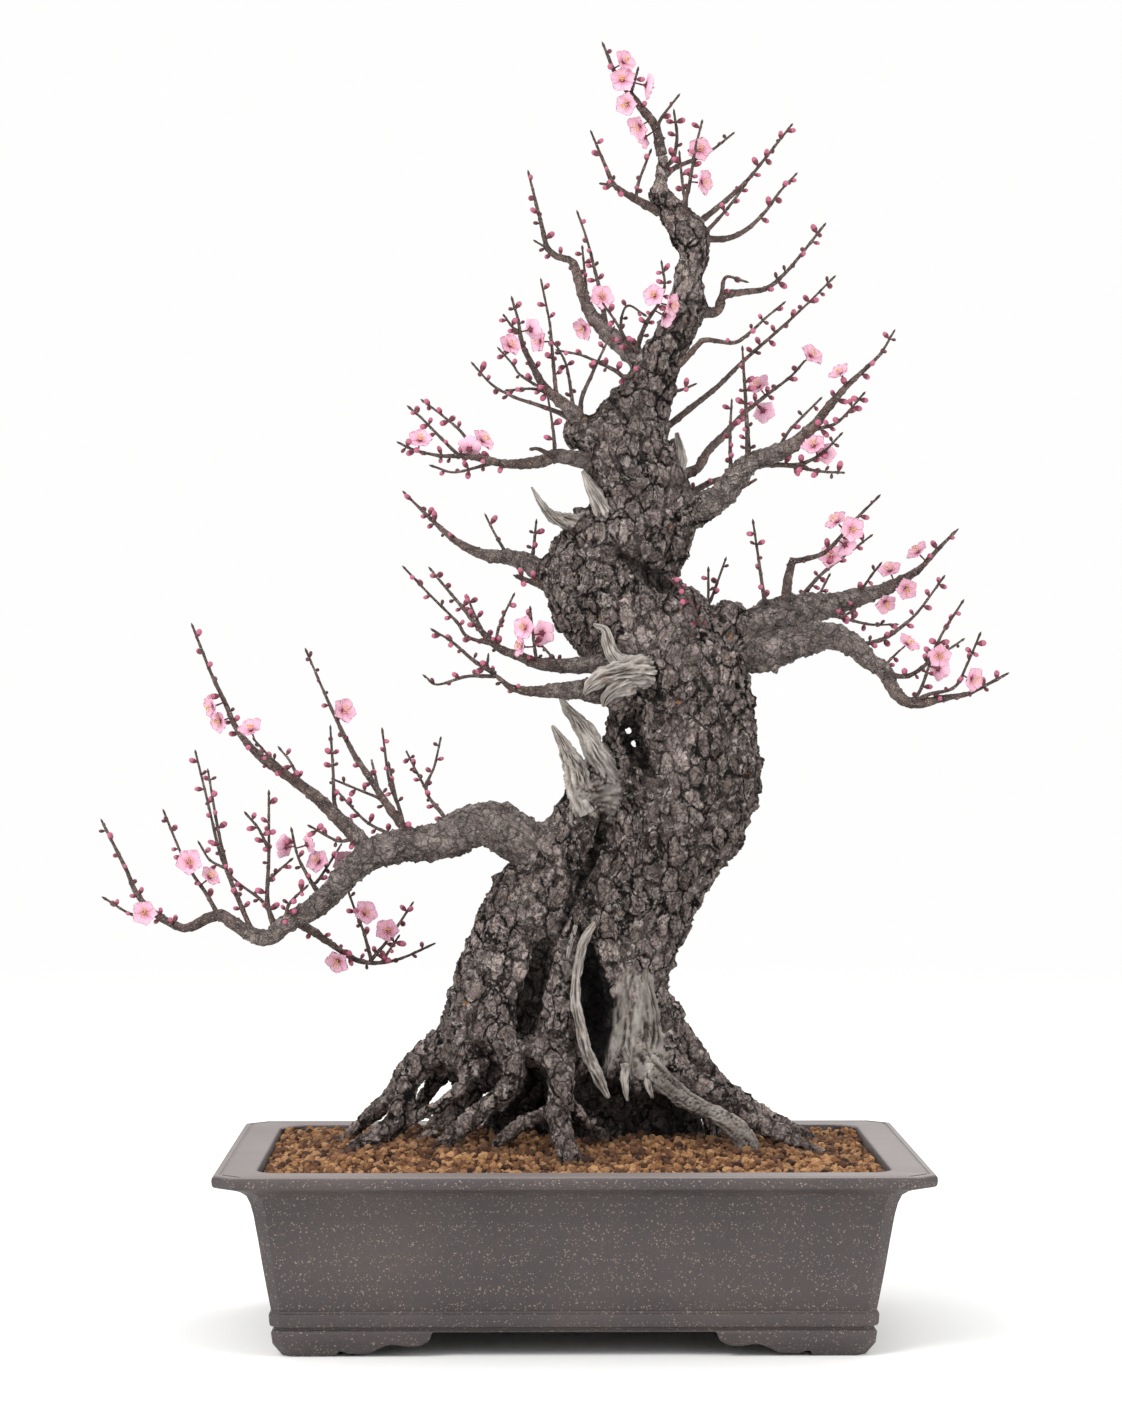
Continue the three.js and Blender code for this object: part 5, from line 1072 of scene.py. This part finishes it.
def add_twig(shell, rows):
    """One stem with nodes and, if it is thick, knobbly bark."""
    widest = max(row[3] for row in rows)
    sides = next((count for least, count in ((15, 80), (9, 56), (5, 28), (3, 14)) if widest > least), 9)
    step = 1.5 if widest > 5 else 1.8
    seed = int(abs(rows[-1][0]) * 7 + abs(rows[-1][2]))
    pace = 11 + seed % 4

    def shape(along, angle, points, radius):
        place = (along + seed) % pace - pace / 2
        node = np.exp(-(place**2) / 1.6) * (1.0 + 0.8 * np.cos(angle - (along + seed) // pace * 2.6))
        swell = node * np.minimum(0.12 + 0.09 * radius, 1.1)
        lump = rough_noise(points / 8, 3, seed) * np.minimum(0.05 + 0.11 * radius, 2.2)
        if widest <= 3:
            return swell + lump
        return swell + lump + bark_shape(points, TWIG_BARK)[0] * np.minimum(radius / 11, 1.1)

    points, faces = tube(rows, sides, step, 1.0, shape)
    path = smooth_path(to_space(rows), step)
    local = np.append(np.repeat(path[:, 3], sides), [path[0, 3], path[-1, 3]])
    crack = bark_shape(points, TWIG_BARK)[1] * ease(1.5, 6, local)
    shell.add(points, faces, 0, crack=crack, thick=ease(3, 9, local))


def turn_to(direction):
    return np.array(Vector((0, 0, 1)).rotation_difference(Vector(direction)).to_matrix())


def lathe(profile, sides):
    """Points and faces of a closed body round Z from (radius, height) rows."""
    angle = np.arange(sides) * 2 * math.pi / sides
    rings = [[(r * math.cos(a), r * math.sin(a), h) for a in angle] for r, h in profile]
    ends = [(0, 0, profile[0][1]), (0, 0, profile[-1][1])]
    return np.array([p for ring in rings for p in ring] + ends), ring_faces(len(profile), sides)


def add_bud(shell, seat, out, width, calyx_at, body_at, long):
    """An egg-shaped bud in its scaly calyx, drawn one wide and then brought to its width."""
    turned = turn_to(out)
    cup = [(0.2, -0.6), (0.24, 0.0), (0.4, 0.25), (0.52, 0.55), (0.53, 0.8), (0.46, 1.02), (0.36, 1.1)]
    calyx, faces = lathe(cup, 8)
    calyx[:, 2] *= long
    shell.add(seat + (calyx * width) @ turned.T, faces, calyx_at, out=0.4)
    egg = [(0.3, 0.6), (0.5, 0.8), (0.55, 1.0), (0.49, 1.25), (0.34, 1.48), (0.13, 1.62)]
    body, faces = lathe(egg, 9)
    body[:, 2] *= long
    shell.add(seat + (body * width) @ turned.T, faces, body_at, out=0.75 * body[:, 2] / (1.62 * long))


def petal_surface(reach, width, cup, seed):
    """One closed petal: a thin cupped sheet with a waved, round end."""
    rows, columns = 8, 7
    u = np.linspace(0, 1, rows)[:, None] * np.ones(columns)
    v = np.ones(rows)[:, None] * np.linspace(-1, 1, columns)
    half = width * np.sin(np.clip(0.1 + 0.88 * u, 0, 1) * math.pi) ** 0.55 * (0.35 + 0.65 * u)
    x = reach * (0.12 + 0.88 * u) - 0.16 * reach * v**2 * u
    y = half * v
    wave = 0.05 * reach * np.sin(v * 3 + seed) * u**2
    z = cup * (0.55 * u**1.6 * reach - 0.10 * reach * u**3) + 0.14 * reach * v**2 * u + wave
    sheets = [np.stack([x, y, z + side * PETAL_THICKNESS / 2], axis=2).reshape(-1, 3) for side in (1, -1)]
    faces, count = [], rows * columns
    for r in range(rows - 1):
        for c in range(columns - 1):
            a = r * columns + c
            faces.append((a, a + columns, a + columns + 1, a + 1))
            faces.append((a + count, a + 1 + count, a + columns + 1 + count, a + columns + count))
    rim = [*range(columns), *[r * columns + columns - 1 for r in range(1, rows)]]
    rim += [(rows - 1) * columns + c for c in range(columns - 2, -1, -1)]
    rim += [r * columns for r in range(rows - 2, 0, -1)]
    for a, b in zip(rim, rim[1:] + rim[:1]):
        faces.append((a, b, b + count, a + count))
    return np.vstack(sheets), faces, np.tile(u.ravel(), 2)


def add_blossom(shell, seat, out, width, draw, opening):
    """An open apricot blossom: calyx, petals, sepals and a ring of stamens."""
    turned = turn_to(out)
    spin = draw.uniform(0, 2 * math.pi)

    def put(points, faces, material, **marks):
        shell.add(seat + points @ turned.T, faces, material, **marks)

    def spun(points, lift, turn):
        return (points + (0, 0, lift)) @ np.array(Matrix.Rotation(turn, 3, "Z")).T

    calyx, faces = lathe([(0.55, -0.6), (0.6, 0.8), (1.3, 2.0), (1.9, 3.0), (1.5, 3.5)], 10)
    put(calyx, faces, CALYX_AT, out=0.3)
    for k in range(PETALS):
        turn = spin + k * 2 * math.pi / PETALS + draw.uniform(-0.09, 0.09)
        reach = width / 2 * draw.uniform(0.93, 1.04)
        cup = (1.15 - 0.75 * opening) * draw.uniform(0.8, 1.3)
        petal, faces, marks = petal_surface(reach, reach * 0.68, cup, draw.uniform(0, 6))
        put(spun(petal, 3.1 + 0.16 * (k % 2), turn), faces, PETAL_AT, out=marks)
        sepal, faces, _ = petal_surface(2.9, 1.3, 0.5, 0.0)
        put(spun(sepal, 2.5, turn + 0.63), faces, CALYX_AT, out=0.3)
    for _ in range(STAMENS):
        lean, turn = draw.uniform(0.12, 0.75), draw.uniform(0, 2 * math.pi)
        tall = width * draw.uniform(0.2, 0.3)
        way = [math.sin(lean) * math.cos(turn), math.sin(lean) * math.sin(turn), math.cos(lean)]
        base = np.array([0, 0, 3.2])
        thread, faces = lathe([(0.09, 0.0), (0.07, tall)], 4)
        put(base + thread @ turn_to(way).T, faces, FILAMENT_AT, out=0.5)
        knob, faces = lathe([(0.14, -0.35), (0.46, 0.0), (0.4, 0.3), (0.12, 0.5)], 5)
        put(base + np.array(way) * tall + knob, faces, ANTHER_AT, out=0.5)


def add_buds(shell, rows, draw, limb=False):
    """Buds in turn along a stem's outer part and a pointed one at its tip."""
    path = smooth_path(to_space(rows), 1.5)
    tangent, side, other = frames_along(path[:, :3])
    reach = lengths_along(path[:, :3])
    tip, faces = lathe([(0.5, -0.6), (0.85, 0.5), (1.0, 1.4), (0.75, 2.6), (0.4, 3.5), (0.1, 4.2)], 7)
    turned = turn_to(tangent[-1])
    shell.add(path[-1, :3] + (tip * draw.uniform(0.85, 1.15)) @ turned.T, faces, TIP_AT, out=0.2)
    place = reach[-1] - draw.uniform(4, 7)
    first = reach[-1] * (0.5 if limb else 0.12)
    turn = draw.uniform(0, 2 * math.pi)
    while place > first:
        k = int(np.searchsorted(reach, place)) - 1
        if path[k, 3] < 3.2:
            for _ in range(2 if draw.uniform(0, 1) < 0.28 else 1):
                angle = turn + draw.uniform(-0.6, 0.6)
                away = side[k] * math.cos(angle) + other[k] * math.sin(angle)
                out = away + tangent[k] * draw.uniform(0.25, 0.7)
                out = out / np.linalg.norm(out)
                seat = path[k, :3] + away * path[k, 3] * 0.75
                swollen = draw.uniform(0, 1)
                kind = (CALYX_AT, BUD_AT) if swollen > 0.22 else (TIP_AT, CALYX_AT)
                add_bud(shell, seat + out * 0.8, out, 2.2 + 2.1 * swollen, *kind, draw.uniform(0.85, 1.15))
                turn += math.pi * 0.86
        place -= draw.uniform(7.5, 13.5)


def make_branch(name):
    draw = np.random.default_rng(sum(map(ord, name)))
    stems = branch_stems(BRANCHES[name])
    shell = Shell()
    for key, rows in stems.items():
        if key == "limb" and rows[0][3] > 4:
            (x, y, z, r), *rest = rows
            rows = [(x, y, z, r * 1.12), *rest]
        add_twig(shell, rows)
    for key, rows in stems.items():
        if "stub" not in key and key != "snag":
            add_buds(shell, rows, draw, key == "limb")
    return shell.build(name + "_wood_and_buds", BUD_MATERIALS), list(stems.values())


def make_blossom(name, stems, x, z, turn, widths, opening, draw):
    """A blossom on a short stalk, beside the nearest stem of its branch."""
    _, row = min((nearest(rows, x, z) for rows in stems), key=lambda found: found[0])
    stem = to_space([row])[0]
    out = np.array([(x - row[0]) / 13, turn, (z - row[2]) / 13 + 0.12])
    out /= np.linalg.norm(out)
    aside = to_space([(x, row[1], z, 1)])[0, :3] - stem[:3]
    aside *= min(1, 5.5 / max(np.linalg.norm(aside), 0.01))
    seat = stem[:3] + aside * 0.8 + out * (stem[3] * 0.8 + 0.5)
    shell = Shell()
    reach = np.linalg.norm(seat - stem[:3])
    if reach > 0.5:
        points, faces = lathe([(0.7, 0.0), (0.6, reach * 0.5), (0.75, reach)], 7)
        stalk = stem[:3] + points @ turn_to((seat - stem[:3]) / reach).T
        shell.add(stalk, faces, CALYX_AT, out=0.3)
    add_blossom(shell, seat, out, BLOSSOM_WIDTH * draw.uniform(*widths), draw, opening)
    return shell.build(name, BUD_MATERIALS)


# ---- Deadwood ----------------------------------------------------------------------------------
def grain_at(along, angle, seed, widest):
    """Fine ridges from 0 to 1 that run along a piece of bare wood."""
    turned = angle + 0.3 * np.sin(along / 31 + seed)
    turns = max(widest / 1.9, 1.8)
    spot = np.stack([np.cos(turned) * turns, np.sin(turned) * turns, along / 26 + seed * 9], axis=1)
    ridged = 1 - 2.2 * np.abs(rough_noise(spot, 4, seed))
    return np.clip(0.65 * ridged + 0.25 + 0.5 * rough_noise(spot * 2.3, 3, seed + 5), 0, 1)


def make_deadwood():
    """The free ends: lips of the hollow, jins, claws and snags, with ragged tips."""
    shell = Shell()
    step = 1.2
    for index, rows in enumerate(JINS):
        sides = 48 if max(row[3] for row in rows) > 6 else 28

        def shape(along, angle, points, radius, seed=index):
            grain = grain_at(along, angle, seed, 13)
            flat = np.cos(angle * 2 + along / 40 + seed) * 0.22
            lump = rough_noise(points / 8, 3, seed + 70) * 0.36
            return ((grain - 0.6) * 0.6 + flat + lump) * np.minimum(radius, 7)

        points, faces = tube(rows, sides, step, 1.0, shape)
        path = smooth_path(to_space(rows), step)
        along = np.repeat(lengths_along(path[:, :3]), sides)
        angle = np.tile(np.arange(sides) * 2 * math.pi / sides, len(path))
        grain = np.concatenate([grain_at(along, angle, index, 13), [0.5, 0.5]])
        shell.add(points, faces, 0, grain=grain)
    return shell.build("deadwood", [BARE])


# ---- Pot ---------------------------------------------------------------------------------------
FOOT_INSET = 46  # the foot ring's lower edge lies this far inside the rim
FOOT_HEIGHT = 18
FOOT_WALL = 18
FOOT_REACH = 104  # from a corner of the foot ring to the end of the foot
END_FOOT = 0.72  # length of a foot along the short side against the long side
FLOOR_TOP = 31
RIM_WIDTH = 30
CORNER_STEPS = 13
EDGE_ROUND = 0.5  # at the two ends of a corner's flat strip
DRAIN_SPACING, DRAIN_RADIUS = 190, 16
ANCHOR_X, ANCHOR_Y, ANCHOR_RADIUS = 82.3, 49.6, 3.5
PAD_TOP, PAD_RADIUS, PAD_HEIGHT = 102.4, 92, 16

# The outside, from the ground up: (height, inset from the rim's edge, width of the corners' strip).
POT_OUTSIDE = [
    (0, 46.8, 7), (0.7, 46, 7), (9, 40, 7), (16.8, 39, 7), (18, 39.6, 6.5), (19.2, 41.3, 6), (20.6, 41.3, 6),
    (21.6, 38.6, 7), (23, 38, 7), (29, 37.5, 7), (30.4, 37.9, 7), (31.2, 39.3, 6), (32.4, 39.5, 6),
    (33.4, 38.9, 6.5), (46, 36.6, 7), (62.5, 33.7, 7.5), (82, 30.6, 8), (99.8, 27.5, 9), (108, 25.4, 9.5),
    (113.7, 22.8, 10), (116.6, 18.8, 10.5), (118.8, 13, 11.5), (120.2, 7, 13), (120.9, 3.4, 14),
    (121.7, 1.2, 14.5), (123.2, 0.3, 15), (126, 0, 15), (128, 0.25, 15), (129.2, 1.1, 14.5),
    (129.8, 2.2, 14.5), (130, 3.4, 14), (130, 4.8, 14), (129.2, 5.5, 13.5), (129.2, 6.7, 13.5),
    (130, 7.4, 13),
]
# The inside, from the rim down: (height, inset, corner radius).
POT_INSIDE = [
    (130, 27.4, 18), (129.6, 29, 20), (128.4, 29.9, 20), (120, 30, 20), (99.8, 40.5, 16), (33, 49.9, 14),
    (FLOOR_TOP, 52, 12),
]
# One side of the space between two feet, down a cloud foot's scroll: (out from its reach, height).
SCROLL = [
    (-2, 18), (-0.6, 16.4), (0, 14), (1.4, 11.6), (4, 10), (7, 8.6), (10, 8), (14, 7.7), (18, 8), (23, 9.1),
    (27, 9.5), (31, 8.4), (36, 6), (40, 3.8), (43, 2.6), (50, 2.1), (58, 2.4), (61, 4), (64, 4), (67, -1),
]


def corner_point(corner, step, radius, strip):
    """A corner point's radius and angle on its arc, and how far in the arc's centre is set in x and y."""
    if not strip:
        angle = (corner + step / CORNER_STEPS) * math.pi / 2
        return radius, angle, 0.0, 0.0
    half = CORNER_STEPS // 2
    first = step <= half
    share = (step if first else step - half - 1) / half
    angle = (corner + (share * 0.5 if first else 0.5 + share * 0.5)) * math.pi / 2
    along_x = first == (corner % 2 == 0)
    return EDGE_ROUND, angle, *((0.0, strip) if along_x else (strip, 0.0))


def pot_ring(inset, radius, z, strip=0.0):
    """A rectangle with round corners or, where strip is its width, with a flat strip across each."""
    ring = []
    for corner, (sx, sy) in enumerate([(1, 1), (-1, 1), (-1, -1), (1, -1)]):
        for step in range(CORNER_STEPS + 1):
            r, angle, back, side = corner_point(corner, step, radius, strip)
            x = sx * (POT_LENGTH / 2 - inset - r - back) + r * math.cos(angle)
            y = sy * (POT_WIDTH / 2 - inset - r - side) + r * math.sin(angle)
            ring.append((x + POT_X, y, z))
    return ring


def vessel(rings):
    ends = [(POT_X, 0, rings[0][0][2]), (POT_X, 0, rings[-1][0][2])]
    return np.array([p for ring in rings for p in ring] + ends), ring_faces(len(rings), len(rings[0]))


def foot_arch(reach, through, share, turned):
    """A cutter for the space between two feet: flat on top, with a scroll at either side."""
    half = [(reach + out * share, z) for out, z in SCROLL]
    outline = half + [(-x, z) for x, z in reversed(half)]
    points = np.array([(x, y, z) for y in (-through, through) for x, z in outline], float)
    if turned:
        points = points[:, [1, 0, 2]] * (1, -1, 1)
    count = len(outline)
    faces = [tuple(range(count)), tuple(range(2 * count - 1, count - 1, -1))]
    faces += [(i, i + count, (i + 1) % count + count, (i + 1) % count) for i in range(count)]
    shell = Shell()
    shell.add(points + (POT_X, 0, 0), faces)
    cutter = shell.build("arch", [])
    work = bmesh.new()
    work.from_mesh(cutter.data)
    bmesh.ops.recalc_face_normals(work, faces=work.faces)
    work.to_mesh(cutter.data)
    work.free()
    return cutter


def upright_hole(radius, x, y):
    shell = Shell()
    points, faces = lathe([(radius, -1), (radius, FLOOR_TOP + 1)], 28)
    shell.add(points + (x + POT_X, y, 0), faces)
    return shell.build("hole", [])


def make_pot():
    outside = [pot_ring(inset, 0, z, strip) for z, inset, strip in POT_OUTSIDE]
    inside = [pot_ring(inset, radius, z) for z, inset, radius in POT_INSIDE]
    shell = Shell()
    shell.add(*vessel(outside + inside))
    pot = shell.build("stoneware_pot", [CLAY])
    under = Shell()
    under.add(*vessel([pot_ring(FOOT_INSET + FOOT_WALL, 8, z) for z in (-1, FOOT_HEIGHT + 2)]))
    cut(pot, under.build("under", []))
    ring_x, ring_y = POT_LENGTH / 2 - FOOT_INSET, POT_WIDTH / 2 - FOOT_INSET
    cut(pot, foot_arch(ring_x - FOOT_REACH, POT_WIDTH, 1, False))
    cut(pot, foot_arch(ring_y - FOOT_REACH * END_FOOT, POT_LENGTH, END_FOOT, True))
    for side in (-1, 1):
        cut(pot, upright_hole(DRAIN_RADIUS, side * DRAIN_SPACING / 2, 0))
        for end in (-1, 1):
            cut(pot, upright_hole(ANCHOR_RADIUS, side * ANCHOR_X, end * ANCHOR_Y))
    modify(pot, "BEVEL", width=0.8 * MM, segments=2, limit_method="ANGLE", angle_limit=math.radians(50))
    mesh = pot.data
    mesh.polygons.foreach_set("use_smooth", [True] * len(mesh.polygons))
    mesh.set_sharp_from_angle(angle=math.radians(38))
    height, upward = read(mesh, "co")[:, 2] / MM, read(mesh, "normal")[:, 2]
    # The rim's upward-facing top, which the clay material lightens as a painted highlight.
    set_mark(mesh, "rim", ease(128, 129, height) * ease(0.6, 0.98, upward))
    return pot


# ---- Soil --------------------------------------------------------------------------------------
GRAIN_SPACING = 5.3
GRAIN_GAP = 3.6  # between the granules' middles and the rim's inner face
GRANULE_PIECES = 6
# The soil near the wood gets painted shade.
SHADE_REACH = 40  # how far from the wood the soil stays darker
MOUND = [(30.35, 125.0), (70, 128.2), (108, 134.0), (142, 138.0)]  # inset from the rim, height
SOIL_BED = [
    (FLOOR_TOP + 0.4, 52.6, 12), (34, 50.6, 14), (99, 41.1, 16), (119, 30.7, 20), (123.5, 30.6, 20),
    (124.5, 40, 22), (127, 74, 24), (132, 110, 24), (135, 140, 23),
]


def soil_height(x, y):
    inset = np.minimum(POT_LENGTH / 2 - np.abs(x), POT_WIDTH / 2 - np.abs(y))
    heights = np.interp(inset, [m[0] for m in MOUND], [m[1] for m in MOUND])
    spot = np.stack([x, y, 0 * x], axis=1)
    return heights - 1.6 + 1.3 * rough_noise(spot / 38, 2, 77)


def make_soil_bed():
    shell = Shell()
    bed = vessel([pot_ring(inset, radius, z) for z, inset, radius in SOIL_BED])
    # The bed, seen only between the granules, takes the darkest brown and painted shade.
    shell.add(*bed, own=0.0, moist=0.85)
    return shell.build("soil_bed", [SOIL])


def round_grain():
    work = bmesh.new()
    bmesh.ops.create_icosphere(work, subdivisions=2, radius=1)
    points = np.array([v.co for v in work.verts])
    faces = [tuple(v.index for v in f.verts) for f in work.faces]
    work.free()
    return points, faces


def granule_spots(half_x, half_y, draw):
    """Where granules lie: uneven rows, with some on top of others."""
    spots = []
    for row, y in enumerate(np.arange(-half_y, half_y, GRAIN_SPACING * 0.87)):
        for x in np.arange(-half_x + (row % 2) * GRAIN_SPACING / 2, half_x, GRAIN_SPACING):
            spots.append((x, y, 0.0))
            if draw.uniform() < 0.22:
                spots.append((x, y, draw.uniform(1.8, 3.2)))
    spots = np.array(spots)
    spots[:, :2] += draw.uniform(-1.6, 1.6, (len(spots), 2))
    spots[:, 0] = np.clip(spots[:, 0], -half_x, half_x)
    spots[:, 1] = np.clip(spots[:, 1], -half_y, half_y)
    spots[:, 2] = soil_height(spots[:, 0], spots[:, 1]) + spots[:, 2]
    return spots


def make_granules(trunk):
    """Loose fired-clay granules over the bed, in strips from left to right."""
    draw = np.random.default_rng(7)
    ball, faces = round_grain()
    wood_faces = [tuple(p.vertices) for p in trunk.data.polygons]
    wood = BVHTree.FromPolygons(read(trunk.data, "co").tolist(), wood_faces)
    half_x, half_y = (size / 2 - RIM_WIDTH - GRAIN_GAP for size in (POT_LENGTH, POT_WIDTH))
    shells = [Shell() for _ in range(GRANULE_PIECES)]
    for x, y, z in granule_spots(half_x, half_y, draw):
        size = draw.uniform(1.9, 3.5)
        scale = size * draw.uniform(0.62, 1.15, 3)
        turn = np.array(Matrix.Rotation(draw.uniform(0, 6.3), 3, Vector(draw.normal(size=3))))
        shape = np.sign(ball) * np.abs(ball) ** 0.8 * (1 + draw.uniform(-0.2, 0.2, len(ball)))[:, None]
        # Painted shade on granules near the wood, plus a little random darkening.
        *_, gap = wood.find_nearest(Vector(((x + POT_X) * MM, y * MM, z * MM)), SHADE_REACH * MM)
        near = 1.0 if gap is None else gap / (SHADE_REACH * MM)
        moist = 0.62 * (1 - near) ** 1.6 + 0.10 * draw.uniform()
        strip = int((x + half_x) / (2 * half_x) * GRANULE_PIECES)
        points = (shape * scale) @ turn.T + (x + POT_X, y, z)
        shells[min(strip, GRANULE_PIECES - 1)].add(points, faces, own=draw.uniform(), moist=moist)
    return [shell.build(f"soil_granules_{k + 1}", [SOIL], False) for k, shell in enumerate(shells)]


def make_root_pad():
    shell = Shell()
    profile = [(PAD_RADIUS - 8, PAD_TOP - PAD_HEIGHT), (PAD_RADIUS, PAD_TOP - 9), (PAD_RADIUS - 3, PAD_TOP)]
    points, faces = lathe(profile, 40)
    shell.add(points * (1, 0.9, 1) + (POT_X, 0, 0), faces, crack=0.5)
    return shell.build("buried_root_pad", [BARK])


# ---- Studio ------------------------------------------------------------------------------------
BACKDROP = (0.992, 0.991, 0.988)
BLACK = (0.0, 0.0, 0.0)
FLOOR_HALF = 9000
LIGHTS = [  # name, place and size in metres, power in watts
    ("key", (-1.5, -1.8, 2.2), 1.2, 52), ("fill", (2.0, -1.5, 1.5), 1.4, 20),
    ("back", (0.9, 2.2, 2.2), 1.2, 20),
]


def add_to_scene(name, data):
    made = bpy.data.objects.new(name, data)
    bpy.context.scene.collection.objects.link(made)
    return made


def make_camera():
    camera = add_to_scene("camera", bpy.data.cameras.new("camera"))
    camera.location = ((POT_X - 40.6) * MM, EYE[1] * MM, EYE[2] * MM)
    camera.rotation_euler = (math.pi / 2, 0, -0.0121)
    camera.data.lens = 95.5
    camera.data.clip_end = 60
    bpy.context.scene.camera = camera


def make_lights():
    for name, place, size, power in LIGHTS:
        lamp = add_to_scene(name, bpy.data.lights.new(name, "AREA"))
        lamp.data.shape = "RECTANGLE"
        lamp.data.size = lamp.data.size_y = size
        lamp.data.energy = power
        lamp.location = place
        lamp.rotation_euler = (Vector((0, 0, 0.4)) - lamp.location).to_track_quat("-Z", "Y").to_euler()


def make_floor():
    """A pale floor that fades into the backdrop far away."""
    shell = Shell()
    corners = [(x * FLOOR_HALF, y * FLOOR_HALF, 0) for x, y in ((-1, -1), (1, -1), (1, 1), (-1, 1))]
    shell.add(corners, [(0, 1, 2, 3)])
    floor = shell.build("floor", [], False)
    paint = Paint("studio_floor", 0.9, Specular_IOR_Level=0.0, Emission_Strength=1.0)
    away = {"Value": paint.vector("LENGTH", paint.place), "From Min": 0.7, "From Max": 4.5}
    far = paint.node("MapRange", away, interpolation_type="SMOOTHERSTEP").outputs["Result"]
    near = paint.blend(far, (0.94, 0.94, 0.935), BLACK)
    floor.data.materials.append(paint.finish(near, Emission_Color=paint.blend(far, BLACK, BACKDROP)))


def make_world():
    world = bpy.data.worlds.new("studio")
    world.use_nodes = True
    background = world.node_tree.nodes["Background"]
    background.inputs["Color"].default_value = (*BACKDROP, 1)
    background.inputs["Strength"].default_value = 1.0
    bpy.context.scene.world = world
    bpy.context.scene.view_settings.view_transform = "Standard"


# ---- Assembly ----------------------------------------------------------------------------------
def place(piece, slot, *nodes):
    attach(piece, "root")
    if nodes:
        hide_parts(*nodes)


make_camera()
make_floor()
make_world()
make_lights()

place(make_pot(), "unglazed_clay", "pot")
trunk = make_trunk()
place(trunk, "old_bark", "trunk")
place(make_deadwood(), "old_bark")
place(make_root_pad(), "old_bark")
place(make_soil_bed(), "soil_granules", "soil")
for granules in make_granules(trunk):
    place(granules, "soil_granules")

draw = np.random.default_rng(3)
shoots, shoot_rows = make_trunk_shoots(draw)
place(shoots, "twig_bark")
stems_of = {"trunk": [MAIN_TRUNK[-6:], *shoot_rows]}
for branch in BRANCHES:
    piece, stems_of[branch] = make_branch(branch)
    place(piece, "twig_bark", branch)

number = 0
for branch, spots in BLOSSOMS.items():
    for x, z, turn in spots:
        number += 1
        name = f"open_blossom_{number:02d}"
        blossom = make_blossom(name, stems_of[branch], x, z, turn, (0.94, 1.03), 0.95, draw)
        place(blossom, "blossom", f"blossom_{number:02d}")
number = 0
for branch, spots in MORE_BLOSSOMS.items():
    for x, z, turn, opening in spots:
        number += 1
        name = f"side_blossom_{number:02d}"
        place(make_blossom(name, stems_of[branch], x, z, turn, (0.86, 1.0), opening, draw), "blossom")

for side in ("left", "right"):
    for kind, made in (("drainage_screen", MESH), ("screen_clip", WIRE), ("anchor_wire", WIRE)):
        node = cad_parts[f"{kind}_{side}"]
        if not node.material_slots:
            node.data.materials.append(made)
        for place_of in node.material_slots:
            place_of.material = made
